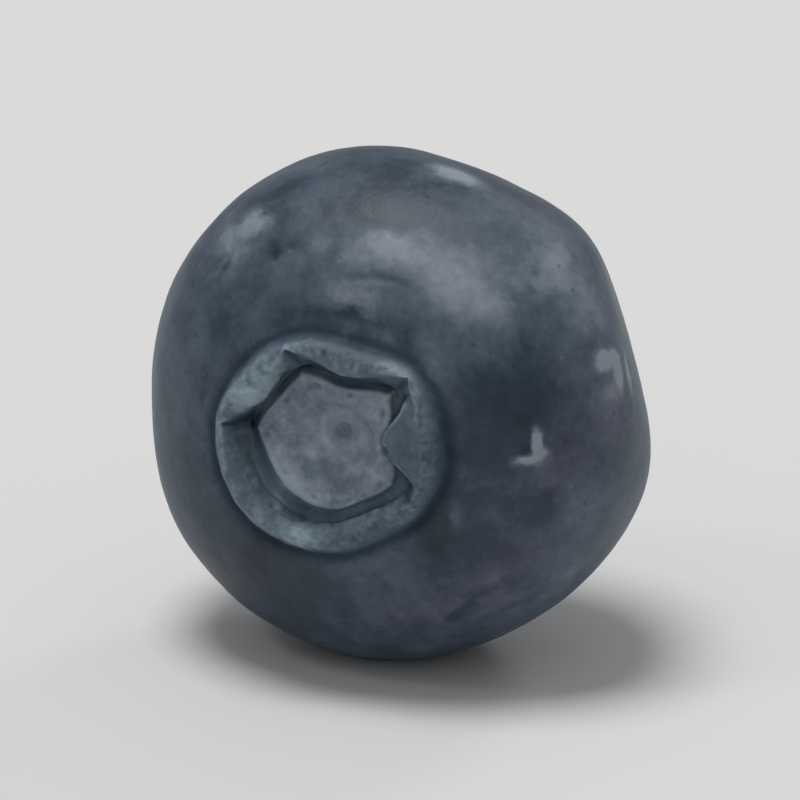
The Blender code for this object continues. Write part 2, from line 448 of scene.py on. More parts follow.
@dataclass(frozen=True)
class Spot:
    """A rounded place on the fruit, in its own axes in mm, and what happens there."""

    place: Place
    radii: Place
    amount: float

    def share(self, wires: Wires, place: Flow) -> Flow:
        """1 in the middle of the spot, fading to 0 round it."""
        steps = wires.vector(
            "DIVIDE", wires.vector("SUBTRACT", place, self.place), self.radii
        )
        return wires.bell(wires.vector("LENGTH", steps))


@dataclass(frozen=True)
class Crease:
    """A thin line along part of a ring: a fold where its amount is below 0, else a ridge."""

    middle: Place
    ring_radius: float
    width: float
    place: Place
    reach: float
    amount: float

    def share(self, wires: Wires, place: Flow) -> Flow:
        """How much of the line is at a place.

        Args:
            wires: the tree's builder.
            place: where, in mm in the fruit's own axes.

        Returns:
            1 on the line, fading to 0 beside it and towards its ends.
        """
        off_line = wires.vector("DISTANCE", place, self.middle) - self.ring_radius
        along = wires.vector("DISTANCE", place, self.place)
        return wires.bell(off_line / self.width, along / self.reach)


def total(wires: Wires, marks: Sequence[Spot | Crease], place: Flow) -> Flow:
    """The sum of what spots and creases do at a place.

    Args:
        wires: the tree's builder.
        marks: the spots and creases.
        place: where, in mm in the fruit's own axes.

    Returns:
        The sum of their amounts there.
    """
    return reduce(operator.add, [mark.share(wires, place) * mark.amount for mark in marks])


def put_in_scene(name: str, data: bpy.types.ID) -> bpy.types.Object:
    """Makes an object and puts it in the scene.

    Args:
        name: the object's name.
        data: its mesh, light or camera.

    Returns:
        The object.
    """
    made = bpy.data.objects.new(name, data)
    bpy.context.scene.collection.objects.link(made)
    return made


def drop_empty_slots(mesh: bpy.types.Mesh) -> None:
    """Removes material slots with no material, which the node tree leaves behind.

    Args:
        mesh: the mesh that the node tree made.
    """
    kept = [index for index, material in enumerate(mesh.materials) if material]
    materials = [mesh.materials[index] for index in kept]
    indices = [kept.index(face.material_index) for face in mesh.polygons]
    mesh.materials.clear()
    for material in materials:
        mesh.materials.append(material)
    mesh.polygons.foreach_set("material_index", indices)


def swell_at(wires: Wires, waves: Sequence[tuple[int, float, float]], angle: Flow) -> Flow:
    """How much further out than round, as a share, some waves reach at an angle.

    Args:
        wires: the tree's builder.
        waves: (count round the ring, share of the radius, angle of a crest in degrees).
        angle: where, in radians.

    Returns:
        The share.
    """
    parts = [
        wires.math("COSINE", (angle - math.radians(start)) * float(count)) * share
        for count, share, start in waves
    ]
    return reduce(operator.add, parts)


@dataclass(frozen=True)
class Body:
    """The round fruit, out of round at the waist and pressed flat in places. In mm."""

    waist_radius: float = 8.34
    crown_reach: float = 6.0
    stem_reach: float = 6.25
    fullness: float = 2.25
    points: int = 27
    waist_waves: tuple[tuple[int, float, float], ...] = (
        (2, 0.0117, 32.0),
        (3, 0.0058, 1.0),
        (5, 0.0030, 50.0),
    )
    pressed: tuple[tuple[Place, float], ...] = (
        ((0.27, 0.92, -0.30), 8.07),
        ((0.88, 0.29, -0.38), 7.74),
        ((-0.93, -0.06, 0.35), 8.22),
        ((0.40, -0.52, -0.76), 7.11),
    )
    bumps: tuple[Spot, ...] = (
        Spot((-4.25, 6.06, 3.17), (1.0, 0.75, 0.85), 0.20),
        Spot((-2.70, 5.57, 4.35), (0.28, 0.28, 0.28), -0.09),
        Spot((-4.91, 5.27, 3.42), (0.6, 0.5, 0.5), -0.06),
        Spot((7.59, 2.75, 1.18), (0.35, 0.6, 0.45), 0.08),
        Spot((7.75, 1.80, 0.90), (0.4, 0.4, 0.4), -0.05),
        Spot((6.90, 0.45, 3.65), (0.5, 0.7, 0.6), -0.12),
        Spot((6.62, -1.12, 3.89), (0.35, 0.3, 0.35), -0.07),
        Spot((4.06, -1.95, 5.29), (0.25, 0.6, 0.3), 0.06),
        Spot((4.37, 3.77, 4.62), (0.9, 0.6, 0.7), -0.06),
        Spot((-5.19, 2.50, 4.64), (0.9, 1.2, 0.9), 0.05),
        # Behind and below
        Spot((-6.10, -4.20, -2.10), (1.3, 1.0, 1.2), -0.10),
        Spot((3.10, 6.90, -3.40), (1.0, 0.9, 1.3), -0.09),
        Spot((-2.50, 6.30, -4.20), (0.5, 0.5, 0.5), 0.07),
        Spot((7.20, -2.20, -3.00), (0.9, 1.2, 1.1), 0.09),
        Spot((-7.60, 2.40, -1.70), (0.4, 0.7, 0.5), -0.07),
    )
    creases: tuple[Crease, ...] = (
        Crease((0.9, 1.9, 5.0), 3.48, 0.16, (1.10, 5.36, 4.78), 1.2, -0.040),
        Crease((0.0, -0.2, 5.2), 4.36, 0.30, (0.6, 4.1, 5.2), 2.9, -0.13),
        Crease((5.88, 0.62, 4.55), 0.66, 0.11, (6.42, 0.25, 4.15), 0.50, 0.11),
        # Behind and below
        Crease((-3.0, 3.0, -5.0), 4.00, 0.13, (-6.2, 3.4, -3.1), 1.5, -0.05),
        Crease((3.0, -3.0, -5.5), 3.60, 0.12, (6.1, -2.0, -4.3), 1.4, -0.05),
    )
    swellings: Pattern = Pattern(3.4, detail=1.0)
    dimples: Pattern = Pattern(1.15, seed=3.0)

    def height_at(self, radius: float, reach: float) -> float:
        """Height of the plain body above the waist, at a radius, on a side with this reach."""
        return reach * (1 - (radius / self.waist_radius) ** self.fullness) ** (1 / self.fullness)

    def outline(self, crown_side: float, stem_side: float, stem: StemEnd) -> list[Point]:
        """The body's outline from the crown to the stem end.

        Args:
            crown_side: the radius where it starts.
            stem_side: the radius where it ends.
            stem: the stem end, whose dimple draws the skin in.

        Returns:
            (radius, height) points.
        """
        first = math.atan2(crown_side, self.height_at(crown_side, self.crown_reach))
        last = math.pi - math.atan2(stem_side, self.height_at(stem_side, self.stem_reach))
        line = []
        for step in range(self.points):
            angle = first + (last - first) * step / (self.points - 1)
            reach = self.crown_reach if angle < math.pi / 2 else self.stem_reach
            across = abs(math.sin(angle)) / self.waist_radius
            along = abs(math.cos(angle)) / reach
            distance = (across**self.fullness + along**self.fullness) ** (-1 / self.fullness)
            radius, height = distance * math.sin(angle), distance * math.cos(angle)
            line.append((radius, height + stem.dimple(radius) * (height < 0)))
        return line

    def shape(self, wires: Wires, place: Flow, swell: Flow, edge: Flow) -> Flow:
        """Takes the turned body out of round, then presses places flat.

        Args:
            wires: the tree's builder.
            place: the place on the turned body.
            swell: how much further out the stem's scar reaches, as a share.
            edge: how softly a pressed place meets the round body.

        Returns:
            The new place.
        """
        x, y, z = wires.split(place)
        radius = wires.math("SQRT", x * x + y * y) / self.waist_radius
        waves = swell_at(wires, self.waist_waves, wires.angle_of(place))
        out = waves * radius * radius + swell + 1.0
        place = wires.join(x * out, y * out, z)
        for direction, distance in self.pressed:
            facing = tuple(Vector(direction).normalized())
            over = (wires.vector("DOT_PRODUCT", place, facing) - distance) / edge
            depth = edge * wires.math("LOGARITHM", wires.math("EXPONENT", over) + 1.0, math.e)
            place = wires.vector("SUBTRACT", place, wires.scaled(facing, depth))
        return place

    def relief(self, wires: Wires, place: Flow, given: Inputs) -> Flow:
        """How far the skin stands proud of the smooth body.

        Args:
            wires: the tree's builder.
            place: the place on the smooth body.
            given: the tree's named inputs.

        Returns:
            The height in mm.
        """
        broad = wires.noise(place, self.swellings, given["Seed"]) * given["Swelling"]
        small = wires.noise(place, self.dimples, given["Seed"]) * given["Dimples"]
        return broad + small + total(wires, (*self.bumps, *self.creases), place)


@dataclass(frozen=True)
class Ring:
    """A measure that changes round the crown: in each notch, and in the middle of each lobe."""

    notches: tuple[float, ...]
    middles: tuple[float, ...]
    softness: float

    def at(self, rows: Sections) -> Flow:
        """The measure at an angle.

        Args:
            rows: the ring's sections there, from Crown.sections.

        Returns:
            The measure: a lobe's is softer towards its notches where softness is more.
        """
        parts = []
        for row, (inside, across, arch) in enumerate(rows):
            start, end = self.notches[row], self.notches[(row + 1) % len(rows)]
            notch = across * (end - start) + start
            parts.append((notch + (self.middles[row] - notch) * arch**self.softness) * inside)
        return reduce(operator.add, parts)


@dataclass(frozen=True)
class Crown:
    """The low wall of five lobes round a groove and a raised disc. In mm."""

    foot_radius: float = 4.00
    crest_radius: float = 3.40
    crest_height: float = 6.02
    lip_radius: float = 2.98
    wall_radius: float = 3.90
    wall_base: float = 5.30
    groove_radius: float = 2.68
    disc_radius: float = 2.46
    disc_height: float = 5.52
    disc_middle_radius: float = 1.2
    style_scar_radius: float = 0.40
    style_scar_shift: Place = (0.38, 0.60, 0.0)
    stretch: Place = (0.995, 0.93, 1.0)
    shift: Place = (-0.10, -0.13, 0.0)
    notch_angles: tuple[float, ...] = (47.0, 114.0, 173.0, 270.0, 334.0)
    lip_heights: Ring = Ring(
        (0.52, 0.46, 0.44, 0.85, 0.70), (1.06, 0.98, 0.96, 0.84, 0.92), 0.8
    )
    crest_heights: Ring = Ring(
        (0.98, 0.97, 0.99, 0.99, 0.98), (1.05, 0.98, 1.00, 0.97, 0.96), 1.5
    )
    lip_shifts: Ring = Ring(
        (0.64, 0.40, 0.26, -0.06, 0.10), (-0.28, -0.58, 0.04, -0.22, -0.10), 0.7
    )
    foot_shifts: Ring = Ring(
        (0.20, 0.0, 0.06, -0.16, -0.16), (-0.19, 0.0, 0.10, -0.38, 0.0), 2.0
    )
    groove_depths: Ring = Ring(
        (0.95, 1.55, 1.75, 0.60, 0.45), (0.80, 0.80, 0.80, 0.30, 0.05), 0.6
    )
    disc_shifts: Ring = Ring(
        (0.30, 0.24, 0.10, -0.08, 0.10), (-0.10, -0.02, -0.34, -0.02, -0.25), 0.9
    )
    flap_edges: Ring = Ring((3.45, 3.6, 3.6, 3.6, 3.35), (4.0, 4.0, 4.0, 4.0, 1.92), 1.05)
    flap_rounding: Point = (-0.03, 0.11)  # from its edge, where its own height takes over
    flap_least_run: float = 0.1
    flap_thickness: float = 0.13
    groove_start: float = 0.02
    groove_width: float = 0.30
    disc_rounding: float = 0.2
    wall_fade: float = 0.38
    near_lip: float = 0.9
    style_scar_pull: float = 0.8
    ring_reach: float = 6.67
    bumps: tuple[Spot, ...] = (
        Spot((-1.50, -1.68, 5.55), (0.75, 0.75, 0.50), 0.09),
        Spot((1.70, -0.03, 5.60), (0.13, 0.15, 0.30), -0.10),
        Spot((2.56, -1.15, 5.70), (0.30, 0.50, 0.40), -0.09),
        Spot((-2.61, 1.32, 5.95), (0.35, 0.35, 0.40), 0.06),
    )
    ragged: Pattern = Pattern(0.50, 11.0, detail=4.0, roughness=0.6)
    ragged_reach: float = 0.05
    wander: Pattern = Pattern(1.30, 14.0)
    wander_reach: float = 0.08
    lumps: Pattern = Pattern(0.75, 6.0, detail=3.0)
    lumps_on_disc: float = 0.034
    lumps_on_wall: float = 0.036
    lumpy_edge: float = 0.25
    stamens: int = 10
    stamen_ring: float = 2.10
    stamen_mark: Place = (0.13, 0.12, 0.030)  # width, length, depth
    ribs: Place = (0.6, 2.0, 0.04)  # radii between which they rise, height
    collar: Place = (0.62, 0.16, 0.010)  # radius, width, height

    def outline(self, body: Body) -> list[Point]:
        """The crown from the axis outward: style scar, disc, groove, wall and foot.

        Args:
            body: the body, which the foot of the wall meets.

        Returns:
            (radius, height) points.
        """
        foot_height = body.height_at(self.foot_radius, body.crown_reach)
        disc, crest = self.disc_height, self.crest_height
        return [
            (0.0, disc - 0.17),
            (self.style_scar_radius * 0.5, disc - 0.14),
            (self.style_scar_radius, disc - 0.05),
            (0.75, disc),
            (1.30, disc),
            (1.95, disc + 0.06),
            (self.disc_radius - 0.14, disc + 0.05),
            (self.disc_radius + 0.02, disc - 0.13),
            (self.groove_radius, disc - 0.29),
            (self.lip_radius - 0.10, disc - 0.15),
            (self.lip_radius - 0.01, disc + 0.10),
            (self.lip_radius + 0.04, crest - 0.24),
            (self.lip_radius + 0.18, crest - 0.08),
            (self.crest_radius, crest),
            (self.crest_radius + 0.23, crest - 0.09),
            (self.crest_radius + 0.40, crest - 0.30),
            (self.crest_radius + 0.51, foot_height + 0.05),
            (self.foot_radius, foot_height - 0.08),
        ]

    def sections(self, wires: Wires, angle: Flow) -> Sections:
        """The ring cut at the notches.

        Args:
            wires: the tree's builder.
            angle: the angle in degrees, seen from in front of the crown.

        Returns:
            For each lobe: 1 inside it, the share of the way across it, and an arch that is 0 in
            its notches and 1 in its middle.
        """
        rows = []
        for row, notch in enumerate(self.notch_angles):
            following = self.notch_angles[(row + 1) % len(self.notch_angles)]
            width = (following - notch) % 360
            across = wires.math("WRAP", angle - notch, 360.0, 0.0) / width
            arch = wires.math("MAXIMUM", wires.math("SINE", across * math.pi), 0.0)
            rows.append((across < 1.0, across, arch))
        return rows

    def shape(
        self, wires: Wires, radius: Flow, angle: Flow, height: Flow, given: Inputs
    ) -> tuple[Flow, Flow, Flow]:
        """Bends the turned wall into lobes, and gives the disc its five blunt corners.

        Args:
            wires: the tree's builder.
            radius: the radius on the plain outline.
            angle: the angle in radians.
            height: the height on the plain outline.
            given: the tree's named inputs.

        Returns:
            The new place, the share of the lobe there, and how much of it is disc, groove and
            the lobe that lies on the disc.
        """
        rows = self.sections(wires, angle * (180 / math.pi))
        share = wires.math("SQRT", reduce(operator.add, [row[0] * row[2] for row in rows]))
        facing = wires.facing(angle)
        plain = wires.around(radius, facing, height)
        ragged = wires.noise(plain, self.ragged, given["Seed"])
        wander = wires.noise(plain, self.wander, given["Seed"])
        top = height > 0.0
        fade = wires.fall(self.crest_radius + self.wall_fade, self.foot_radius, radius)
        on_wall = (radius > self.groove_radius) * (height > self.wall_base) * fade * top
        inner = wires.fall(self.lip_radius, self.wall_radius, radius)
        rise = (height - self.wall_base) / (self.crest_height - self.wall_base)

        # Heights of the lobes, the groove and the lobe that lies down
        lip, crest = self.lip_heights.at(rows), self.crest_heights.at(rows)
        on_lip = wires.fall(self.lip_radius, self.crest_radius, radius)
        stands = wires.mix(on_lip, crest, lip) + ragged * given["Ragged edge"] * rise
        sunk = wires.math("MINIMUM", height - (self.disc_height - self.groove_start), 0.0)
        in_groove = wires.bell((radius - self.groove_radius) / self.groove_width)
        depth = self.groove_depths.at(rows)
        dug = sunk * (depth - 1.0) * in_groove * top
        lifted = (height - self.wall_base) * (stands - 1.0) * on_wall + height + dug
        flap, lifted = self.lay_flap(wires, rows, radius, lifted, crest)

        # Radii: how far each lobe leans, and the disc's corners
        near = wires.bell((radius - self.lip_radius) / self.near_lip)
        out = self.lip_shifts.at(rows) * inner * rise * on_wall
        out = out + wander * self.wander_reach * near * top
        out = out + ragged * self.ragged_reach * inner * rise * on_wall
        disc = (
            (radius < self.lip_radius)
            * (1.0 - on_wall)
            * wires.smooth(self.disc_middle_radius, self.disc_radius, radius)
            * wires.fall(self.disc_radius, self.lip_radius, radius)
        )
        moved = radius + out + self.disc_shifts.at(rows) * disc * top
        place = wires.around(moved, facing, lifted)
        place = self.set_ring(wires, rows, place, moved, facing, top)

        on_disc = wires.fall(self.disc_radius - self.disc_rounding, self.disc_radius, radius)
        bare = 1.0 - flap
        return place, share, wires.join(on_disc * bare, in_groove * depth * bare, flap)

    def set_ring(
        self, wires: Wires, rows: Sections, place: Flow, radius: Flow, facing: Flow, top: Flow
    ) -> Flow:
        """Brings the style's scar, the foot of the wall and the whole ring to their places.

        Args:
            wires: the tree's builder.
            rows: the ring's sections, from Crown.sections.
            place: the place with the lobes shaped.
            radius: how far that is from the axis.
            facing: the direction out from the axis.
            top: 1 on the crown's side of the waist.

        Returns:
            The new place.
        """
        pull = self.disc_radius * self.style_scar_pull
        scar = wires.fall(self.style_scar_radius, pull, radius)
        place = wires.moved(place, self.style_scar_shift, scar * top)
        across = wires.fall(self.foot_radius, self.ring_reach, radius)
        wall = wires.smooth(self.disc_middle_radius, self.lip_radius, radius) * across * top
        place = wires.moved(place, facing, self.foot_shifts.at(rows) * wall)
        spare = tuple(stretch - 1.0 for stretch in self.stretch)
        spread = wires.vector("ADD", wires.vector("MULTIPLY", place, spare), self.shift)
        return wires.moved(place, spread, across * top)

    def lay_flap(
        self, wires: Wires, rows: Sections, radius: Flow, height: Flow, crest: Flow
    ) -> tuple[Flow, Flow]:
        """Lays the lobe that points at the style's scar down over the groove and the disc.

        Args:
            wires: the tree's builder.
            rows: the ring's sections, from Crown.sections.
            radius: the radius on the plain outline.
            height: the height so far.
            crest: the crest's height there, as a share.

        Returns:
            The share of the flap, and the height with it.
        """
        edge = self.flap_edges.at(rows)
        run = wires.math("MAXIMUM", self.crest_radius - edge, self.flap_least_run)
        low = self.disc_height + self.flap_thickness
        high = crest * (self.crest_height - self.wall_base) + self.wall_base
        raised = wires.mix((radius - edge) / run, low, high)
        start, end = self.flap_rounding
        flap = wires.smooth(edge + start, edge + end, radius) * (radius < self.crest_radius)
        gain = wires.math("MAXIMUM", raised - height, 0.0)
        return flap * (height > 0.0), height + gain * flap * (height > 0.0)

    def relief(self, wires: Wires, place: Flow, outline: Flow, seed: Flow) -> Flow:
        """Fine folds of the wall and the disc, and the ring of marks that the stamens left.

        Args:
            wires: the tree's builder.
            place: the place on the shaped crown.
            outline: radius, lobe share and height on the plain outline.
            seed: which pattern.

        Returns:
            The height in mm, to be used on the crown alone.
        """
        radius, share, _ = wires.split(outline)
        angle = wires.angle_of(place)
        wall = wires.smooth(self.groove_radius, self.lip_radius, radius)
        lumps = wires.noise(place, self.lumps, seed)
        disc = wires.fall(self.disc_radius - self.lumpy_edge, self.disc_radius, radius)
        spacing = TURN / self.stamens
        off_mark = wires.math("PINGPONG", angle + TURN, spacing / 2) * self.stamen_ring
        width, length, depth = self.stamen_mark
        marks = wires.bell(off_mark / width, (radius - self.stamen_ring) / length)
        start, end, rib_height = self.ribs
        ribs = (0.5 - share) * wires.smooth(start, end, radius)
        collar_radius, collar_width, collar_height = self.collar
        collar = wires.bell((radius - collar_radius) / collar_width)
        on_disc = lumps * self.lumps_on_disc - marks * depth
        on_disc = on_disc + ribs * rib_height + collar * collar_height
        on_wall = lumps * self.lumps_on_wall * wall
        return on_wall + on_disc * disc + total(wires, self.bumps, place)


@dataclass(frozen=True)
class StemEnd:
    """The shallow dimple and the torn scar where the stalk was. In mm."""

    dimple_depth: float = 0.42
    dimple_radius: float = 2.2
    scar_radius: float = 1.15
    scar_depth: float = 0.28
    waves: tuple[tuple[int, float, float], ...] = (
        (2, 0.10, 35.0),
        (3, 0.07, 80.0),
        (5, 0.04, 10.0),
    )
    wave_reach: float = 1.5
    folds: Pattern = Pattern(0.30, 8.0)
    fold_height: float = 0.045
    folds_rise: float = 1.5
    folds_fall: Point = (1.8, 3.6)
    torn: Pattern = Pattern(0.32, 9.0, detail=4.0, roughness=0.65)
    torn_height: float = 0.060
    torn_edge: Point = (-0.12, 0.05)  # from the scar's radius, where the torn floor ends

    def dimple(self, radius: float) -> float:
        """How far the skin is drawn in at this radius round the scar."""
        return self.dimple_depth * math.exp(-((radius / self.dimple_radius) ** 2))

    def outline(self, body: Body) -> list[Point]:
        """The scar from its raised lip to the small pit on the axis.

        Args:
            body: the body, whose skin the lip meets.

        Returns:
            (radius, height) points.
        """
        lip, depth = self.scar_radius, self.scar_depth
        steps = (
            (lip + 0.18, -0.05),
            (lip, 0.0),
            (lip - 0.16, depth * 0.75),
            (0.70, depth),
            (0.36, depth * 0.85),
            (0.20, depth * 1.30),
            (0.0, depth * 1.50),
        )
        return [
            (radius, self.dimple(radius) - body.height_at(radius, body.stem_reach) + sunk)
            for radius, sunk in steps
        ]

    def swell(self, wires: Wires, radius: Flow, angle: Flow, height: Flow) -> Flow:
        """How much further out than round the scar reaches, as a share."""
        near = wires.fall(self.scar_radius, self.dimple_radius * self.wave_reach, radius)
        return swell_at(wires, self.waves, angle) * near * (height < 0.0)

    def relief(self, wires: Wires, place: Flow, radius: Flow, seed: Flow) -> Flow:
        """Small folds that run into the dimple, and the torn floor of the scar.

        Args:
            wires: the tree's builder.
            place: the place on the shaped body.
            radius: the radius on the plain outline.
            seed: which pattern.

        Returns:
            The height in mm, to be used on the stem side alone.
        """
        folds = wires.noise(wires.facing(wires.angle_of(place)), self.folds, seed)
        fall = wires.fall(*self.folds_fall, radius)
        near = wires.smooth(self.scar_radius, self.folds_rise, radius) * fall
        start, end = self.torn_edge
        floor = wires.fall(self.scar_radius + start, self.scar_radius + end, radius)
        torn = wires.noise(place, self.torn, seed)
        return folds * near * self.fold_height + torn * floor * self.torn_height


@dataclass(frozen=True)
class Bloom:
    """How the wax lies in one finish."""

    thickness: float
    cloud_size: float
    rubbing: float
    # More wax on ridges and less in grooves: partly wax, partly painted highlight on edges and
    # painted shade in grooves
    ridge_wax_and_shading: float
    seed: float
    unevenness: float = 1.0

    INPUTS = (
        ("Place", "Vector"),
        ("Ridge", "Float"),
        ("Thickness", "Float"),
        ("Cloud size", "Float"),
        ("Rubbing", "Float"),
        ("Ridge wax and shading", "Float"),
        ("Seed", "Float"),
        ("Unevenness", "Float"),
    )
    CLOUDS = Pattern(1.0, detail=5.0, roughness=0.6, distortion=0.4)
    MOTTLE = Pattern(0.27, 2.0, detail=4.0, roughness=0.7)
    SPECKLE = Pattern(0.07, 8.0, detail=3.0, roughness=0.7)
    LAYERS = ((CLOUDS, 0.24), (MOTTLE, 0.13), (SPECKLE, 0.06))
    RUBS = Pattern(0.62, 4.0, detail=3.0, distortion=0.8)
    RUB_EDGE = (0.15, 0.75)
    SCRATCHES = Pattern(0.9, 6.0, distortion=0.15)
    SCRATCH_EDGE = (0.85, 1.35)
    SCRATCH_TURN = (0.5, 0.9, 0.4)
    SCRATCH_SCALE = (0.22, 3.4, 2.6)

    @classmethod
    def build_group(cls) -> bpy.types.NodeTree:
        """Builds the group that says how much wax lies at a place.

        Returns:
            The group, whose patterns but the scratches are shares of the cloud size.
        """
        wires = Wires.group("Wax bloom", TreeKind.SHADER, cls.INPUTS, (("Amount", "Float"),))
        given = wires.inputs
        place, seed, cloud = given["Place"], given["Seed"], given["Cloud size"]
        layers = [wires.noise(place, layer, seed, cloud) * share for layer, share in cls.LAYERS]
        uneven = reduce(operator.add, layers) * given["Unevenness"]
        rubs = wires.noise(place, cls.RUBS, seed, cloud)
        rubbed = wires.smooth(*cls.RUB_EDGE, rubs) * given["Rubbing"]
        along = wires.add(
            "ShaderNodeMapping",
            place,
            named={"Rotation": cls.SCRATCH_TURN, "Scale": cls.SCRATCH_SCALE},
        )
        scratches = wires.noise(along, cls.SCRATCHES, seed)
        scratched = wires.smooth(*cls.SCRATCH_EDGE, scratches) * given["Rubbing"]
        # More wax on ridges and less in grooves: partly wax, partly painted highlight on edges
        # and painted shade in grooves
        edge = given["Ridge"] * given["Ridge wax and shading"]
        wires.finish(given["Thickness"] + uneven - rubbed - scratched + edge)
        return wires.tree

    def place_in(self, wires: Wires, group: bpy.types.NodeTree, place: Flow, ridge: Flow) -> Flow:
        """Puts the group in a material with this finish's values.

        Args:
            wires: the material's builder.
            group: the wax group.
            place: the place in the fruit's own axes.
            ridge: the ridge attribute.

        Returns:
            How much wax there is.
        """
        values = (place, ridge, self.thickness, self.cloud_size, self.rubbing, self.ridge_wax_and_shading)
        return wires.add(
            "ShaderNodeGroup", *values, self.seed, self.unevenness, node_tree=group
        )


@dataclass(frozen=True)
class Grain:
    """The skin's fine grain and pores in one finish."""

    size: float
    pore_spacing: float
    seed: float

    INPUTS = (
        ("Place", "Vector"),
        ("Size", "Float"),
        ("Pore spacing", "Float"),
        ("Seed", "Float"),
    )
    OUTPUTS = (("Height", "Float"), ("Pores", "Float"), ("Flecks", "Float"))
    FINE = Pattern(1.0, detail=4.0, roughness=0.65)
    BROAD = Pattern(4.5, 1.0, detail=3.0)
    PORES = (0.0, 0.88)  # shift of the seed, share of the dots left out
    FLECKS = (7.0, 0.92)
    DOT_EDGE = (0.06, 0.22)
    DIAGONAL = (1.0, 1.0, 1.0)
    HEIGHTS = (0.5, 0.8, 1.3, 0.9)  # of the fine and broad grain, the pores and the flecks

    @classmethod
    def build_group(cls) -> bpy.types.NodeTree:
        """Builds the group of the grain's height, its dark pores and its pale flecks of wax.

        Returns:
            The group, whose noises are shares of the grain's size.
        """
        wires = Wires.group("Skin grain", TreeKind.SHADER, cls.INPUTS, cls.OUTPUTS)
        given = wires.inputs
        place, spacing, seed = given["Place"], given["Pore spacing"], given["Seed"]
        fine = wires.noise(place, cls.FINE, seed, given["Size"])
        broad = wires.noise(place, cls.BROAD, seed, given["Size"])
        dots = []
        for shift, left_out in (cls.PORES, cls.FLECKS):
            near = wires.add(
                "ShaderNodeTexVoronoi",
                wires.moved(place, cls.DIAGONAL, seed + shift),
                named={"Scale": 1.0 / spacing},
                voronoi_dimensions="3D",
            )
            chance = wires.add("ShaderNodeSeparateColor", wires.beside(near, 1))
            dots.append(wires.fall(*cls.DOT_EDGE, near) * (chance > left_out))
        pores, flecks = dots
        by_fine, by_broad, by_pores, by_flecks = cls.HEIGHTS
        height = fine * by_fine + broad * by_broad - pores * by_pores + flecks * by_flecks
        wires.finish(height, pores, flecks)
        return wires.tree

    def place_in(
        self, wires: Wires, group: bpy.types.NodeTree, place: Flow
    ) -> tuple[Flow, Flow, Flow]:
        """Puts the group in a material with this finish's values.

        Args:
            wires: the material's builder.
            group: the grain group.
            place: the place in the fruit's own axes.

        Returns:
            (height, pores, flecks).
        """
        height = wires.add(
            "ShaderNodeGroup", place, self.size, self.pore_spacing, self.seed, node_tree=group
        )
        return height, wires.beside(height, 1), wires.beside(height, 2)


@dataclass(frozen=True)
class Groups:
    """The node groups that more than one material uses."""

    bloom: bpy.types.NodeTree
    grain: bpy.types.NodeTree


@dataclass(frozen=True)
class Finish:
    """What every finish of the fruit has."""

    name: str
    bloom: Bloom
    grain: Grain
    colours: tuple[tuple[float, Colour], ...]
    rough_bare: float = 0.40
    rough_waxed: float = 0.56
    bump_height: float = 0.007
    specular: float = 0.38
    sheen: float = 0.08
    sheen_roughness: float = 0.45
    sheen_tint: Colour = (0.62, 0.78, 1.0)
    waxed: Point = (0.0, 0.7)

    def start(self) -> tuple[bpy.types.Material, Wires, Flow, Flow]:
        """Starts a material.

        Returns:
            The material, its builder, the place in the fruit's own axes and the ridge attribute.
        """
        material = bpy.data.materials.new(self.name)
        material.use_nodes = True
        material.node_tree.nodes.clear()
        wires = Wires(material.node_tree)
        return material, wires, wires.shown(OWN_PLACE), wires.shown(RIDGE, out=2)

    def ramp(self, wires: Wires, amount: Flow) -> Flow:
        """The colour for an amount of wax.

        Args:
            wires: the material's builder.
            amount: the amount.

        Returns:
            The colour, which goes from one of the finish's colours to the next.
        """
        flow = wires.add("ShaderNodeValToRGB", amount)
        stops = flow.socket.node.color_ramp.elements
        for (position, colour), stop in zip(self.colours, stops):
            stop.position = position
            stop.color = (*colour, 1.0)
        for position, colour in self.colours[len(stops):]:
            stops.new(position).color = (*colour, 1.0)
        return flow

    def rough(self, wires: Wires, wax: Flow) -> Flow:
        """The roughness for an amount of wax."""
        return wires.mix(wires.smooth(*self.waxed, wax), self.rough_bare, self.rough_waxed)

    def close(self, wires: Wires, colour: Flow, roughness: Flow, height: Flow) -> None:
        """Adds the shader and the output.

        Args:
            wires: the material's builder.
            colour: the base colour.
            roughness: the roughness.
            height: the bump's height, in units of bump_height.
        """
        bump = wires.add(
            "ShaderNodeBump",
            named={"Strength": 1.0, "Distance": self.bump_height * MM, "Height": height},
        )
        shader = wires.add(
            "ShaderNodeBsdfPrincipled",
            named={
                "Base Color": colour,
                "Roughness": roughness,
                "Normal": bump,
                "Specular IOR Level": self.specular,
                "Sheen Weight": self.sheen,
                "Sheen Roughness": self.sheen_roughness,
                "Sheen Tint": (*self.sheen_tint, 1.0),
            },
        )
        wires.add("ShaderNodeOutputMaterial", shader)


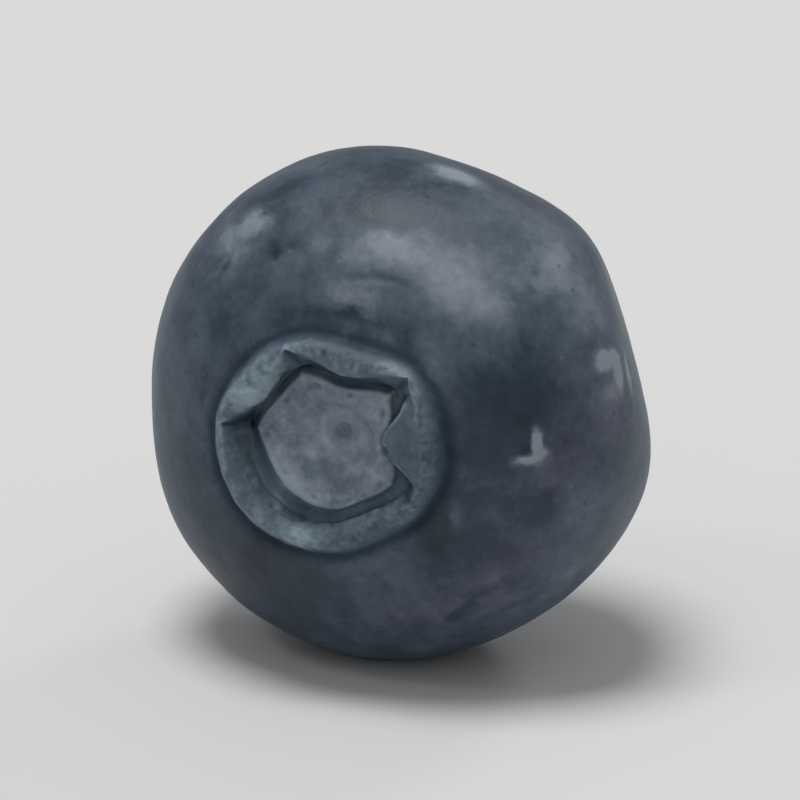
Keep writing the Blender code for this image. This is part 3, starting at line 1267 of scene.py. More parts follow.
@dataclass(frozen=True)
class WaxySkin(Finish):
    """The blue-black skin under its patchy bloom."""

    wax_and_light_patches: tuple[Spot, ...] = (
        # Broad places with more wax, or with less where the amount is below 0.
        # Several are painted light and shade as well as wax: painted highlights over the top,
        # along the upper right shoulder, on the upper-left bump and on the right edge, and
        # painted shade above the crown, right of it and low on the left
        # Wax and a painted broad highlight over the top
        Spot((2.60, 5.80, 4.00), (2.3, 1.3, 1.5), 0.42),
        Spot((4.00, 4.95, 4.15), (1.1, 1.0, 0.9), 0.38),
        Spot((0.30, 4.95, 4.98), (1.2, 0.50, 0.6), 0.22),
        Spot((1.00, 6.22, 4.22), (1.0, 0.60, 0.65), 0.54),
        Spot((3.00, 5.20, 4.55), (0.8, 0.5, 0.6), 0.16),
        Spot((-1.05, 5.95, 4.35), (1.3, 1.0, 0.9), 0.33),
        Spot((-2.00, 6.90, 3.30), (1.1, 0.9, 1.0), 0.22),
        Spot((3.40, 7.20, 1.90), (1.6, 0.8, 1.2), 0.26),
        # Wax and painted light along the upper right shoulder
        Spot((5.75, 5.60, 1.90), (1.3, 1.2, 1.3), 0.45),
        Spot((6.99, 4.00, 1.70), (0.9, 1.2, 1.1), 0.37),
        Spot((6.50, 3.20, 3.20), (0.8, 0.9, 0.8), 0.12),
        Spot((5.30, 5.20, 3.00), (1.1, 1.1, 1.0), 0.17),
        # Painted shade in the dark band right of the crown
        Spot((5.90, 1.80, 4.30), (1.3, 1.5, 1.2), -0.22),
        Spot((4.60, 3.60, 4.75), (1.3, 0.8, 0.9), 0.10),
        # Darker down the right flank
        Spot((4.46, -2.60, 5.10), (1.6, 1.7, 1.2), -0.24),
        Spot((6.57, -1.53, 3.92), (0.9, 0.7, 0.8), -0.26),
        # Painted shade in the furrow above the crown
        Spot((0.30, 3.95, 5.45), (2.2, 0.34, 0.45), -0.16),
        Spot((0.20, 4.50, 5.15), (1.2, 0.38, 0.50), 0.31),
        Spot((3.00, 2.80, 5.40), (0.7, 1.0, 0.5), 0.24),
        Spot((5.75, 2.90, 4.15), (0.7, 1.3, 0.7), 0.10),
        Spot((5.30, 6.40, 1.40), (1.0, 0.7, 0.9), 0.14),
        # Painted highlight on the upper-left bump
        Spot((-4.50, 5.50, 3.55), (0.85, 0.80, 0.75), 0.57),
        Spot((-3.60, 6.15, 3.40), (0.60, 0.36, 0.42), 0.52),
        # Painted highlight on the right edge
        Spot((7.90, 1.55, 1.90), (0.55, 0.95, 1.00), 0.39),
        Spot((7.22, -2.20, 2.90), (0.90, 1.30, 1.00), 0.27),
        Spot((7.18, -3.97, 1.13), (1.20, 1.20, 1.20), 0.11),
        Spot((6.60, 0.10, 3.95), (0.80, 0.80, 0.60), 0.12),
        Spot((5.20, -4.80, 3.60), (1.60, 1.20, 1.40), 0.12),
        Spot((-5.20, 1.40, 4.80), (1.3, 1.7, 1.1), 0.10),
        # Painted shade low on the left, below the crown
        Spot((-3.20, -4.90, 4.60), (2.4, 1.8, 1.8), -0.30),
        Spot((1.50, -5.60, 4.20), (2.60, 1.60, 1.80), 0.06),
        # Behind and below
        Spot((-7.00, -2.00, -2.50), (2.0, 3.0, 2.0), 0.16),
        Spot((3.00, 6.50, -3.50), (3.0, 1.6, 1.8), 0.18),
        Spot((-4.00, 5.50, -4.00), (1.5, 1.4, 1.4), -0.20),
        Spot((6.50, -3.80, -2.50), (1.8, 2.0, 1.8), -0.16),
        Spot((2.50, -2.50, -6.00), (2.4, 1.8, 1.6), 0.14),
    )
    marks: tuple[Spot | Crease, ...] = (
        # Small marks with sharp edges: a dark arc and dents, and painted highlights: a J-shaped
        # glint right of the crown, glints along the right edge and one along the top edge
        Crease((0.9, 1.9, 5.0), 3.48, 0.13, (1.10, 5.36, 4.78), 1.1, -0.20),
        Spot((-0.62, 5.92, 4.50), (0.20, 0.50, 0.40), -0.14),
        Spot((1.00, 4.95, 4.95), (0.55, 0.12, 0.30), -0.14),
        Spot((-2.70, 5.57, 4.35), (0.20, 0.20, 0.22), -0.35),
        # Painted highlight: the J-shaped glint on the small ridge right of the crown
        Spot((6.31, 0.61, 4.26), (0.15, 0.42, 0.26), 1.20),
        Spot((6.43, 0.15, 4.20), (0.20, 0.24, 0.26), 0.85),
        Spot((6.06, -0.06, 4.49), (0.46, 0.17, 0.25), 0.95),
        Spot((6.05, 0.36, 4.49), (0.20, 0.13, 0.22), -0.20),
        Spot((6.05, 1.26, 4.40), (0.30, 0.30, 0.30), -0.10),
        # Painted highlights along the right edge
        Spot((7.60, 2.80, 1.86), (0.34, 0.24, 0.44), 1.35),
        Spot((7.82, 2.30, 1.35), (0.30, 0.55, 0.24), 0.95),
        Spot((7.95, 2.20, 0.55), (0.30, 0.80, 0.20), 1.00),
        # Painted highlight along the top edge
        Spot((1.92, 7.87, 0.80), (0.97, 0.30, 0.60), 0.97),
        Spot((4.06, -1.95, 5.29), (0.20, 0.50, 0.30), 0.22),
        # Behind and below
        Spot((-6.80, 1.10, -3.60), (0.50, 0.30, 0.40), 0.60),
        Spot((-1.60, 7.20, -3.10), (0.35, 0.30, 0.60), 0.55),
        Spot((5.40, 4.90, -3.30), (0.60, 0.30, 0.30), 0.50),
    )
    fray: Pattern = Pattern(0.45, 30.0, detail=4.0, roughness=0.62)
    fray_reach: float = 0.45
    patch_fray: Pattern = Pattern(1.8, 31.0, detail=4.0, roughness=0.62)
    patch_fray_reach: float = 1.8
    waxed: Point = (0.0, 0.75)
    wax_height: float = 0.8
    rough_grain: float = 0.02
    # The crease at the crown wall's foot: painted shade, which takes wax away so it is darker,
    # and more roughness
    foot_radius: float = 4.04
    foot_width: float = 0.20
    foot_painted_shade: float = 0.10
    foot_rough: float = 0.4
    blushes: tuple[Spot, ...] = (
        # Where the skin under the wax is redder
        Spot((7.11, 0.06, 3.46), (0.6, 0.7, 0.7), 0.9),
        Spot((6.62, -1.12, 3.89), (0.6, 0.6, 0.6), 0.6),
        Spot((7.88, 1.00, 1.95), (1.2, 1.6, 1.4), 0.65),
        Spot((4.54, -4.60, 4.00), (2.4, 1.6, 1.8), 0.5),
        Spot((5.80, -3.10, 4.00), (1.2, 1.0, 1.0), 0.7),
        Spot((1.50, -6.20, 4.20), (2.2, 1.2, 1.6), 0.4),
        Spot((2.60, 6.10, 3.80), (2.2, 1.0, 1.4), 0.25),
        Spot((0.0, 0.0, -6.20), (3.4, 3.4, 1.4), 1.1),
    )
    blush: Colour = (1.26, 0.91, 1.02)
    blush_edge: Point = (0.05, 1.0)
    blush_noise: Pattern = Pattern(2.8, 20.0, detail=3.0)
    blush_uneven: float = 0.22
    dots_share: float = 0.8
    pore_colour: Colour = (0.55, 0.55, 0.60)
    fleck_colour: Colour = (1.45, 1.42, 1.38)

    def look(
        self, wires: Wires, groups: Groups, place: Flow, ridge: Flow
    ) -> tuple[Flow, Flow, Flow]:
        """What the skin looks like at a place.

        Args:
            wires: the material's builder.
            groups: the shared node groups.
            place: the place in the fruit's own axes.
            ridge: the ridge attribute.

        Returns:
            (colour, roughness, height of the bump).
        """
        seed = self.bloom.seed
        frayed = wires.shaken(place, self.fray, seed, self.fray_reach)
        broadly = wires.shaken(frayed, self.patch_fray, seed, self.patch_fray_reach)
        radius, _, level = wires.split(wires.shown(OUTLINE_PLACE))
        foot = wires.bell((radius - self.foot_radius) / self.foot_width) * (level > 0.0)
        laid = self.bloom.place_in(wires, groups.bloom, place, ridge)
        # Here wax also carries the painted highlights and painted shade of the patches and marks,
        # for colour and roughness alike
        wax = laid + total(wires, self.wax_and_light_patches, broadly) + total(wires, self.marks, frayed)
        # Painted shade in the crease at the wall's foot: less wax there, so darker
        wax = wires.math("MAXIMUM", wax - foot * self.foot_painted_shade, 0.0)
        height, pores, flecks = self.grain.place_in(wires, groups.grain, place)
        uneven = wires.noise(place, self.blush_noise, seed) * self.blush_uneven
        red = wires.smooth(*self.blush_edge, total(wires, self.blushes, place) + uneven)
        colour = wires.tinted(red, self.ramp(wires, wax), self.blush)
        colour = wires.tinted(pores * self.dots_share, colour, self.pore_colour)
        colour = wires.tinted(flecks * self.dots_share, colour, self.fleck_colour)
        roughness = self.rough(wires, wax) + height * self.rough_grain + foot * self.foot_rough
        return colour, roughness, height + laid * self.wax_height

    def material(self, groups: Groups) -> bpy.types.Material:
        """Builds the material.

        Args:
            groups: the shared node groups.

        Returns:
            The material.
        """
        material, wires, place, ridge = self.start()
        self.close(wires, *self.look(wires, groups, place, ridge))
        return material


@dataclass(frozen=True)
class CalyxTissue(Finish):
    """The dull skin of the crown's lobes, groove and disc."""

    crown: Crown = field(default_factory=Crown)
    skin: WaxySkin = field(kw_only=True)
    # Painted shade in the groove round the disc
    groove_shade_colour: Colour = (0.30, 0.33, 0.36)
    groove_shade_share: float = 0.26
    wall_tint: Colour = (0.90, 1.00, 0.97)
    disc_wax: float = 0.18
    style_scar_radius: float = 0.60
    style_scar_bare: float = 0.12
    outer_edge: Point = (0.24, 0.55)  # from the crest, where the tissue turns into skin
    wax_and_light_patches: tuple[Spot, ...] = (
        # More wax on the lobes and the disc, or less where the amount is below 0.
        # Several are painted light and shade: painted highlights on the lobes and the disc's
        # edge, painted light in the groove low on the left, painted shade on the disc under the
        # top lobe and in the notches
        # Painted highlights on the lower and upper-left lobes and the disc's lower-left edge, and
        # painted light in the groove low on the left
        Spot((-0.93, -3.12, 5.90), (0.60, 0.36, 0.42), 0.35),
        Spot((-2.03, 2.00, 5.90), (0.80, 0.80, 0.50), 0.16),
        Spot((-2.90, 1.13, 5.95), (0.40, 0.40, 0.50), 0.34),
        Spot((-2.56, 1.08, 5.35), (0.50, 0.50, 0.30), 0.22),
        Spot((-2.76, -1.20, 5.55), (0.40, 1.20, 0.40), 0.20),
        Spot((-1.94, -0.81, 5.60), (0.35, 0.60, 0.30), 0.20),
        Spot((-1.84, -2.07, 5.30), (0.80, 0.80, 0.35), 0.20),
        Spot((-0.39, -2.79, 5.40), (0.80, 0.50, 0.35), 0.20),
        Spot((-1.40, -1.58, 5.60), (0.50, 0.40, 0.30), 0.30),
        Spot((-0.68, -2.02, 5.60), (0.50, 0.30, 0.30), 0.22),
        # Painted shade on the disc under the top lobe
        Spot((-1.36, 1.42, 5.60), (0.90, 0.70, 0.35), -0.18),
        Spot((0.29, 1.61, 5.60), (1.20, 0.45, 0.35), -0.14),
        Spot((0.58, 3.26, 5.80), (1.60, 0.50, 0.45), -0.14),
        Spot((2.44, 2.82, 5.60), (0.80, 0.62, 0.52), 0.50),
        Spot((2.60, 0.06, 5.85), (0.70, 1.00, 0.50), -0.14),
        Spot((3.52, 0.16, 5.80), (0.50, 1.50, 0.50), -0.18),
        Spot((2.70, -2.16, 5.90), (0.90, 0.80, 0.50), -0.14),
        Spot((1.06, -3.13, 5.90), (0.90, 0.50, 0.50), -0.12),
        Spot((2.80, -0.66, 5.85), (0.30, 0.40, 0.30), 0.14),
        Spot((2.51, -1.15, 5.70), (0.25, 0.45, 0.40), -0.14),
        # Painted shade in the notches
        Spot((-2.95, 0.36, 5.50), (0.42, 0.38, 0.50), -0.40),
        Spot((-1.20, 2.50, 5.50), (0.34, 0.34, 0.40), -0.20),
        Spot((2.30, 2.25, 5.60), (0.40, 0.40, 0.45), -0.20),
    )

    def material(self, groups: Groups) -> bpy.types.Material:
        """Builds the material, which turns into the skin's down the wall's outer side.

        Args:
            groups: the shared node groups.

        Returns:
            The material.
        """
        material, wires, place, ridge = self.start()
        radius, _, _ = wires.split(wires.shown(OUTLINE_PLACE))
        on_disc, groove, _ = wires.split(wires.shown(CROWN_PARTS))
        wax = self.bloom.place_in(wires, groups.bloom, place, ridge)
        # The patches add painted highlights and painted shade as well as wax
        wax = wax + total(wires, self.wax_and_light_patches, place) + on_disc * self.disc_wax
        wax = wax - wires.bell(radius / self.style_scar_radius) * self.style_scar_bare
        wax = wires.math("MAXIMUM", wax, 0.0)
        height, _, _ = self.grain.place_in(wires, groups.grain, place)
        colour = self.ramp(wires, wax)
        on_wall = wires.mix_colour(1.0, colour, self.wall_tint, "MULTIPLY")
        colour = wires.mix_colour(on_disc, on_wall, colour)
        # Painted shade in the groove, stronger where the groove is deeper
        colour = wires.tinted(groove * self.groove_shade_share, colour, self.groove_shade_colour)
        roughness = self.rough(wires, wax)
        start, end = (self.crown.crest_radius + step for step in self.outer_edge)
        outer = wires.smooth(start, end, radius)
        skin_colour, skin_roughness, skin_height = self.skin.look(wires, groups, place, ridge)
        self.close(
            wires,
            wires.mix_colour(outer, colour, skin_colour),
            wires.mix(outer, roughness, skin_roughness),
            wires.mix(outer, height, skin_height),
        )
        return material


@dataclass(frozen=True)
class TornScar(Finish):
    """The dry torn flesh where the stalk was."""

    pit_colour: Colour = (0.25, 0.18, 0.16)
    pit_radius: float = 0.30

    def material(self, groups: Groups) -> bpy.types.Material:
        """Builds the material.

        Args:
            groups: the shared node groups.

        Returns:
            The material.
        """
        material, wires, place, ridge = self.start()
        radius, _, _ = wires.split(wires.shown(OUTLINE_PLACE))
        wax = self.bloom.place_in(wires, groups.bloom, place, ridge)
        height, _, _ = self.grain.place_in(wires, groups.grain, place)
        pit = wires.bell(radius / self.pit_radius)
        colour = wires.tinted(pit, self.ramp(wires, wax), self.pit_colour)
        self.close(wires, colour, self.rough(wires, wax), height)
        return material


@dataclass(frozen=True)
class Fibres:
    """The torn strands that stand in the stem's scar. In mm."""

    spacing: float = 0.14
    density: float = 40.0
    length: float = 0.30
    foot_radius: float = 0.035
    tip_radius: float = 0.010
    bend: float = 0.9
    sunk: float = 0.03
    sides: int = 5
    rings: int = 4
    lean: float = 0.9
    least_scale: float = 0.45
    most_scale: float = 1.15

    def strand(self, wires: Wires, length: Flow) -> Flow:
        """One bent and tapered strand.

        Args:
            wires: the tree's builder.
            length: how long it is.

        Returns:
            Its mesh, standing on the origin.
        """
        counts = (self.sides, self.rings, 1)
        radii = (self.tip_radius, self.foot_radius)
        cone = wires.add("GeometryNodeMeshCone", *counts, *radii, length)
        _, _, z = wires.split(wires.add("GeometryNodeInputPosition"))
        bent = wires.join(z * z * self.bend, 0.0, -self.sunk)
        return wires.add("GeometryNodeSetPosition", cone, named={"Offset": bent})

    def scatter(self, wires: Wires, skin: Flow, where: Flow, given: Inputs) -> Flow:
        """Strands on the places chosen, as instances.

        Args:
            wires: the tree's builder.
            skin: the fruit's mesh.
            where: 1 on the scar.
            given: the tree's named inputs.

        Returns:
            The instances.
        """
        seed = given["Seed"]
        points = wires.add(
            "GeometryNodeDistributePointsOnFaces",
            skin,
            named={
                "Selection": where,
                "Distance Min": self.spacing,
                "Density Max": given["Fibre density"],
                "Seed": seed,
            },
            distribute_method="POISSON",
        )
        tilt = wires.random((-self.lean, -self.lean, 0.0), (self.lean, self.lean, TURN), seed)
        turned = wires.add("FunctionNodeRotateRotation", wires.beside(points, 2), tilt)
        turned.socket.node.rotation_space = "LOCAL"
        return wires.add(
            "GeometryNodeInstanceOnPoints",
            points,
            named={
                "Instance": self.strand(wires, given["Fibre length"]),
                "Rotation": turned,
                "Scale": wires.random(self.least_scale, self.most_scale, seed + 1.0),
            },
        )


@dataclass(frozen=True)
class Blueberry:
    """The whole fruit: one piece, turned, shaped and dressed by one node tree."""

    body: Body = field(default_factory=Body)
    crown: Crown = field(default_factory=Crown)
    stem: StemEnd = field(default_factory=StemEnd)
    fibres: Fibres = field(default_factory=Fibres)
    outline_gap: float = 0.45
    crown_steps: int = 7
    body_steps: int = 4
    stem_steps: int = 5
    segments: int = 368
    pressed_edge: float = 0.43
    swelling: float = 0.040
    dimples: float = 0.013
    ragged_edge: float = 0.055
    crown_tilt: float = 5.0
    flat_spot_depth: float = 0.30
    weld: float = 1e-5
    blur_steps: int = 10
    ridge_height: float = 0.03
    crown_edge: Point = (-0.15, 0.20)  # from the wall's foot, where the crown's relief ends
    scar_edge: float = 1.6
    scar_rim: float = 0.02
    strands_rim: float = 0.15
    calyx_reach: float = 0.56
    seed: int = 4

    INPUTS = (
        ("Outline", "Geometry"),
        ("Segments", "Int"),
        ("Pressed edge", "Float"),
        ("Swelling", "Float"),
        ("Dimples", "Float"),
        ("Ragged edge", "Float"),
        ("Crown tilt", "Float"),
        ("Flat spot depth", "Float"),
        ("Fibre density", "Float"),
        ("Fibre length", "Float"),
        ("Middle", "Vector"),
        ("Seed", "Int"),
        ("Skin", "Material"),
        ("Calyx", "Material"),
        ("Stem scar", "Material"),
    )

    def outline(self) -> list[Point]:
        """The whole outline in fine steps.

        Returns:
            (radius, height) points, from the crown's middle to the stem's.
        """
        crown = self.crown.outline(self.body)
        body = self.body.outline(
            self.crown.foot_radius + self.outline_gap,
            self.stem.scar_radius + self.outline_gap,
            self.stem,
        )
        stem = self.stem.outline(self.body)
        steps = [self.crown_steps] * (len(crown) - 1)
        steps += [self.body_steps] * (len(body) + 1)
        steps += [self.stem_steps] * (len(stem) - 1)
        return smooth_line([*crown, *body, *stem], steps)

    def turn(self, wires: Wires, given: Inputs) -> tuple[Flow, Flow, Flow, Flow]:
        """A flat grid with a row for each point of the outline, ready to be turned.

        Args:
            wires: the tree's builder.
            given: the tree's named inputs.

        Returns:
            The grid, and the radius, angle and height that each of its points will have.
        """
        outline, segments = given["Outline"], given["Segments"]
        rows = wires.add("GeometryNodeAttributeDomainSize", outline, component="MESH")
        grid = wires.add("GeometryNodeMeshGrid", rows - 1.0, segments, rows, segments + 1.0)
        position = wires.add("GeometryNodeInputPosition")
        x, y, _ = wires.split(position)
        row = wires.math("ROUND", x + (rows - 1.0) / 2.0)
        angle = (y / segments + 0.5) * TURN
        point = wires.add(
            "GeometryNodeSampleIndex",
            outline,
            position,
            row,
            data_type="FLOAT_VECTOR",
            domain="POINT",
        )
        radius, _, height = wires.split(point)
        return grid, radius, angle, height

    def relief(self, wires: Wires, given: Inputs) -> Flow:
        """How far the surface stands proud of the smooth form.

        Args:
            wires: the tree's builder.
            given: the tree's named inputs.

        Returns:
            The offset of each point, in mm.
        """
        seed = given["Seed"]
        place, outline = wires.kept(OWN_PLACE), wires.kept(OUTLINE_PLACE)
        radius, _, height = wires.split(outline)
        top = height > 0.0
        start, end = (self.crown.foot_radius + step for step in self.crown_edge)
        on_crown = wires.fall(start, end, radius) * top
        scar = wires.fall(self.stem.scar_radius, self.scar_edge, radius)
        on_scar = scar * (1.0 - top)
        plain = self.body.relief(wires, place, given) * (1.0 - on_crown) * (1.0 - on_scar)
        crown = self.crown.relief(wires, place, outline, seed) * on_crown
        stem = self.stem.relief(wires, place, radius, seed) * (1.0 - top)
        return wires.scaled(wires.add("GeometryNodeInputNormal"), plain + crown + stem)

    def lay_down(self, wires: Wires, form: Flow, given: Inputs) -> Flow:
        """Lays the fruit on its flat spot at the CAD solid's place, in metres.

        Args:
            wires: the tree's builder.
            form: the fruit in its own axes, in mm.
            given: the tree's named inputs.

        Returns:
            The fruit in its place.
        """
        tilt = (90.0 - given["Crown tilt"]) * (math.pi / 180)
        lying = wires.add(
            "GeometryNodeTransform",
            form,
            named={"Rotation": wires.join(tilt, 0.0, 0.0)},
        )
        box = wires.add("GeometryNodeBoundBox", lying)
        low, high = wires.beside(box, 1), wires.beside(box, 2)
        middle = wires.scaled(wires.vector("ADD", low, high), -0.5)
        x, y, _ = wires.split(middle)
        _, _, bottom = wires.split(low)
        shift = wires.join(x, y, -bottom - given["Flat spot depth"])
        centred = wires.add("GeometryNodeTransform", lying, named={"Translation": shift})
        x, y, z = wires.split(wires.add("GeometryNodeInputPosition"))
        level = wires.join(x, y, wires.math("MAXIMUM", z, 0.0))
        flat = wires.add("GeometryNodeSetPosition", centred, named={"Position": level})
        return wires.add(
            "GeometryNodeTransform",
            flat,
            named={"Translation": given["Middle"], "Scale": (MM, MM, MM)},
        )

    def build_tree(self) -> Wires:
        """Builds the tree that turns the outline into the finished fruit.

        Returns:
            The tree's builder.
        """
        wires = Wires.group(
            "Blueberry form", TreeKind.FORM, self.INPUTS, (("Geometry", "Geometry"),)
        )
        given = wires.inputs
        grid, radius, angle, height = self.turn(wires, given)
        place, share, parts = self.crown.shape(wires, radius, angle, height, given)
        swell = self.stem.swell(wires, radius, angle, height)
        place = self.body.shape(wires, place, swell, given["Pressed edge"])
        grid = wires.keep(grid, OUTLINE_PLACE, wires.join(radius, share, height))
        grid = wires.keep(grid, CROWN_PARTS, parts)
        form = wires.add("GeometryNodeSetPosition", grid, named={"Position": place})
        form = wires.add("GeometryNodeMergeByDistance", form, named={"Distance": self.weld})
        position = wires.add("GeometryNodeInputPosition")
        form = wires.keep(form, OWN_PLACE, position)
        form = wires.add(
            "GeometryNodeSetPosition", form, named={"Offset": self.relief(wires, given)}
        )
        form = wires.keep(form, RIDGE, self.ridge(wires, position), "FLOAT")
        radius, _, height = wires.split(wires.kept(OUTLINE_PLACE))
        scar = (height < 0.0) * (radius < self.stem.scar_radius - self.scar_rim)
        inner = scar * (radius < self.stem.scar_radius - self.strands_rim)
        calyx = (height > 0.0) * (radius < self.crown.crest_radius + self.calyx_reach)
        strands = self.fibres.scatter(wires, form, inner, given)
        joined = wires.add("GeometryNodeJoinGeometry", strands)
        wires.tree.links.new(form.socket, joined.socket.node.inputs[0])
        form = self.lay_down(wires, joined, given)
        form = wires.add("GeometryNodeRealizeInstances", form)
        form = wires.add("GeometryNodeSetShadeSmooth", form)
        for where, name in ((None, "Skin"), (calyx, "Calyx"), (scar, "Stem scar")):
            form = wires.add("GeometryNodeSetMaterial", form, where, given[name])
        wires.finish(form)
        return wires

    def ridge(self, wires: Wires, position: Flow) -> Flow:
        """How far each point stands proud of those round it.

        Args:
            wires: the tree's builder.
            position: the points' places, in mm.

        Returns:
            1 on a sharp edge, -1 in a sharp groove and 0 on a plain surface.
        """
        blurred = wires.add(
            "GeometryNodeBlurAttribute", position, self.blur_steps, data_type="FLOAT_VECTOR"
        )
        proud = wires.vector(
            "DOT_PRODUCT",
            wires.vector("SUBTRACT", position, blurred),
            wires.add("GeometryNodeInputNormal"),
        )
        share = wires.math("MAXIMUM", proud / self.ridge_height, -1.0)
        return wires.math("MINIMUM", share, 1.0)

    def make(self, skin: WaxySkin, calyx: CalyxTissue, scar: TornScar) -> bpy.types.Object:
        """Builds the fruit as a plain mesh that stands for the CAD node.

        Args:
            skin: the skin's finish.
            calyx: the crown's finish.
            scar: the finish of the stem's scar.

        Returns:
            The finished piece.
        """
        groups = Groups(Bloom.build_group(), Grain.build_group())
        low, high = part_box(NODE)
        middle = ((low.x + high.x) / 2, (low.y + high.y) / 2, low.z)
        values = {
            "Segments": self.segments,
            "Pressed edge": self.pressed_edge,
            "Swelling": self.swelling,
            "Dimples": self.dimples,
            "Ragged edge": self.ragged_edge,
            "Crown tilt": self.crown_tilt,
            "Flat spot depth": self.flat_spot_depth,
            "Fibre density": self.fibres.density,
            "Fibre length": self.fibres.length,
            "Middle": middle,
            "Seed": self.seed,
            "Skin": skin.material(groups),
            "Calyx": calyx.material(groups),
            "Stem scar": scar.material(groups),
        }
        wires = self.build_tree()
        line = self.outline()
        mesh = bpy.data.meshes.new("outline")
        mesh.from_pydata(
            [(radius, 0.0, height) for radius, height in line],
            [(i, i + 1) for i in range(len(line) - 1)],
            [],
        )
        source = put_in_scene("outline", mesh)
        modifier = source.modifiers.new("Form", "NODES")
        modifier.node_group = wires.tree
        for label, value in values.items():
            modifier[wires.identifiers[label]] = value
        bpy.context.view_layer.update()
        graph = bpy.context.evaluated_depsgraph_get()
        made = bpy.data.meshes.new_from_object(source.evaluated_get(graph))
        bpy.data.objects.remove(source, do_unlink=True)
        made.name = "whole_blueberry"
        drop_empty_slots(made)
        piece = put_in_scene("whole_blueberry", made)
        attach(piece, BODY)
        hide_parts(NODE)
        return piece


@dataclass(frozen=True)
class Studio:
    """The pale floor, the soft lights and the camera. Lengths in metres."""

    floor_radius: float = 3.0
    floor_sides: int = 96
    floor_colour: Colour = (0.780, 0.782, 0.772)
    floor_roughness: float = 0.6
    floor_specular: float = 0.2
    sky_colour: Colour = (0.985, 0.99, 1.0)
    sky_strength: float = 0.30
    azimuth: float = 22.0
    elevation: float = 20.0
    distance: float = 0.32
    view_width: float = 0.0255
    clip_range: Point = (0.01, 20.0)
    lights: tuple[tuple[str, Place, float, float], ...] = (
        ("overhead softbox", (-0.30, -0.10, 2.0), 0.9, 23.0),
        ("small front softbox", (-0.60, -0.50, 0.90), 0.20, 0.60),
        ("small back softbox", (0.25, 0.90, 0.60), 0.30, 1.20),
    )

    def make_floor(self) -> bpy.types.Object:
        """Makes the plain pale floor.

        Returns:
            The floor, a round disc.
        """
        mesh = bpy.data.meshes.new("floor")
        turns = [TURN * side / self.floor_sides for side in range(self.floor_sides)]
        ring = [
            (self.floor_radius * math.cos(turn), self.floor_radius * math.sin(turn), 0.0)
            for turn in turns
        ]
        mesh.from_pydata(ring, [], [tuple(range(self.floor_sides))])
        floor = put_in_scene("floor", mesh)
        material = bpy.data.materials.new("Pale floor")
        material.use_nodes = True
        shader = material.node_tree.nodes["Principled BSDF"]
        shader.inputs["Base Color"].default_value = (*self.floor_colour, 1.0)
        shader.inputs["Roughness"].default_value = self.floor_roughness
        shader.inputs["Specular IOR Level"].default_value = self.floor_specular
        mesh.materials.append(material)
        return floor

    def make_lights(self, target: Vector) -> None:
        """Makes the softboxes, and the even light from all round.

        Args:
            target: what the softboxes face.
        """
        for name, place, size, power in self.lights:
            data = bpy.data.lights.new(name, "AREA")
            data.shape = "DISK"
            data.size = size
            data.energy = power
            lamp = put_in_scene(name, data)
            lamp.location = place
            lamp.rotation_euler = (Vector(place) - target).to_track_quat("Z", "Y").to_euler()
        world = bpy.data.worlds.new("soft light")
        world.use_nodes = True
        background = world.node_tree.nodes["Background"]
        background.inputs["Color"].default_value = (*self.sky_colour, 1.0)
        background.inputs["Strength"].default_value = self.sky_strength
        bpy.context.scene.world = world

    def make_camera(self, target: Vector) -> None:
        """Makes the camera, far off with a long lens, on the side that the photograph shows.

        Args:
            target: what the camera faces.
        """
        azimuth, elevation = math.radians(self.azimuth), math.radians(self.elevation)
        back = Vector(
            (
                math.sin(azimuth) * math.cos(elevation),
                -math.cos(azimuth) * math.cos(elevation),
                math.sin(elevation),
            )
        )
        data = bpy.data.cameras.new("camera")
        data.lens = data.sensor_width * self.distance / self.view_width
        data.clip_start, data.clip_end = self.clip_range
        camera = put_in_scene("camera", data)
        camera.location = target + back * self.distance
        camera.rotation_euler = back.to_track_quat("Z", "Y").to_euler()
        bpy.context.scene.camera = camera


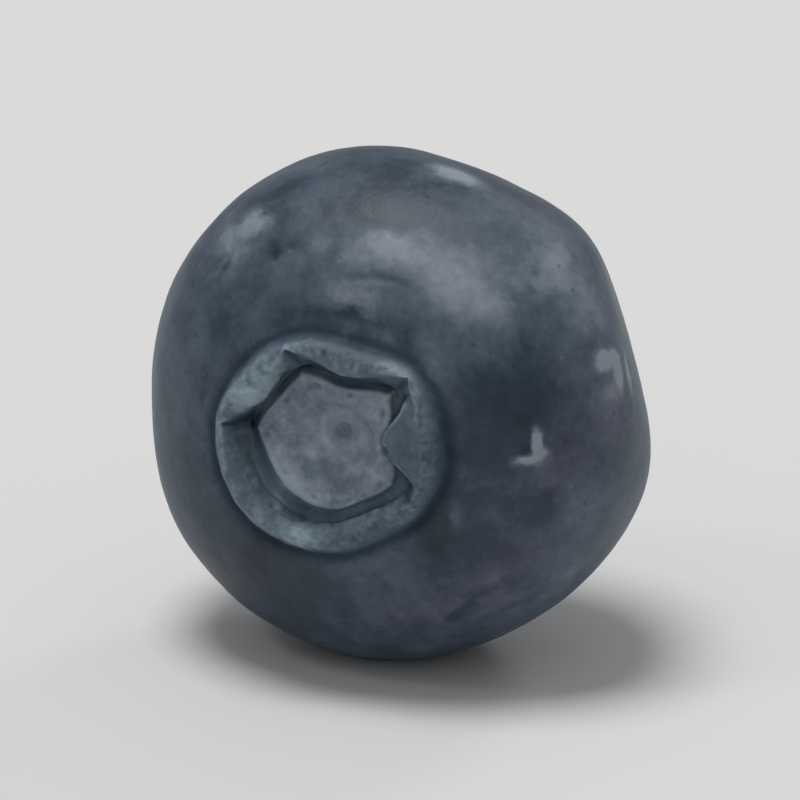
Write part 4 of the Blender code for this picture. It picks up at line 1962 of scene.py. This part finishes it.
def make_finishes() -> tuple[WaxySkin, CalyxTissue, TornScar]:
    """Chooses the fruit's three finishes, with the colours that the photograph shows.

    Returns:
        The finishes of the skin, the crown and the stem's scar.
    """
    skin = WaxySkin(
        name="Waxy blue skin",
        bloom=Bloom(thickness=0.34, cloud_size=4.4, rubbing=0.20, ridge_wax_and_shading=0.05, seed=3.0),
        grain=Grain(size=0.16, pore_spacing=0.52, seed=5.0),
        colours=(
            (0.0, (0.008, 0.018, 0.034)),
            (0.30, (0.025, 0.045, 0.072)),
            (0.60, (0.092, 0.124, 0.164)),
            (1.0, (0.262, 0.308, 0.355)),
        ),
    )
    calyx = CalyxTissue(
        name="Calyx",
        bloom=Bloom(
            thickness=0.56,
            cloud_size=2.2,
            rubbing=0.10,
            ridge_wax_and_shading=0.34,
            seed=9.0,
            unevenness=0.75,
        ),
        grain=Grain(size=0.13, pore_spacing=0.42, seed=11.0),
        colours=(
            (0.0, (0.010, 0.022, 0.036)),
            (0.35, (0.043, 0.069, 0.098)),
            (0.65, (0.122, 0.160, 0.206)),
            (1.0, (0.300, 0.355, 0.410)),
        ),
        skin=skin,
    )
    scar = TornScar(
        name="Stem scar",
        bloom=Bloom(thickness=0.50, cloud_size=0.9, rubbing=0.10, ridge_wax_and_shading=0.30, seed=13.0),
        grain=Grain(size=0.09, pore_spacing=0.25, seed=15.0),
        colours=(
            (0.0, (0.050, 0.022, 0.015)),
            (0.40, (0.160, 0.075, 0.040)),
            (0.70, (0.300, 0.170, 0.095)),
            (1.0, (0.480, 0.330, 0.210)),
        ),
        rough_bare=0.55,
        rough_waxed=0.85,
        sheen=0.0,
    )
    return skin, calyx, scar


def report(piece: bpy.types.Object) -> None:
    """Logs what a finished piece is made of.

    Args:
        piece: the piece.
    """
    piece.data.calc_loop_triangles()
    LOG.info(
        "%s: %d vertices, %d triangles, %d materials",
        piece.name,
        len(piece.data.vertices),
        len(piece.data.loop_triangles),
        len(piece.data.materials),
    )


def main() -> None:
    """Builds the fruit, then the studio round it."""
    logging.basicConfig(level=logging.INFO, format="%(name)s: %(message)s")
    bpy.context.scene.view_settings.view_transform = "Standard"
    berry = Blueberry().make(*make_finishes())
    report(berry)
    low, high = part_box(NODE)
    target = (low + high) / 2
    studio = Studio()
    studio.make_floor()
    studio.make_lights(target)
    studio.make_camera(target)


if __name__ == "__main__":
    main()
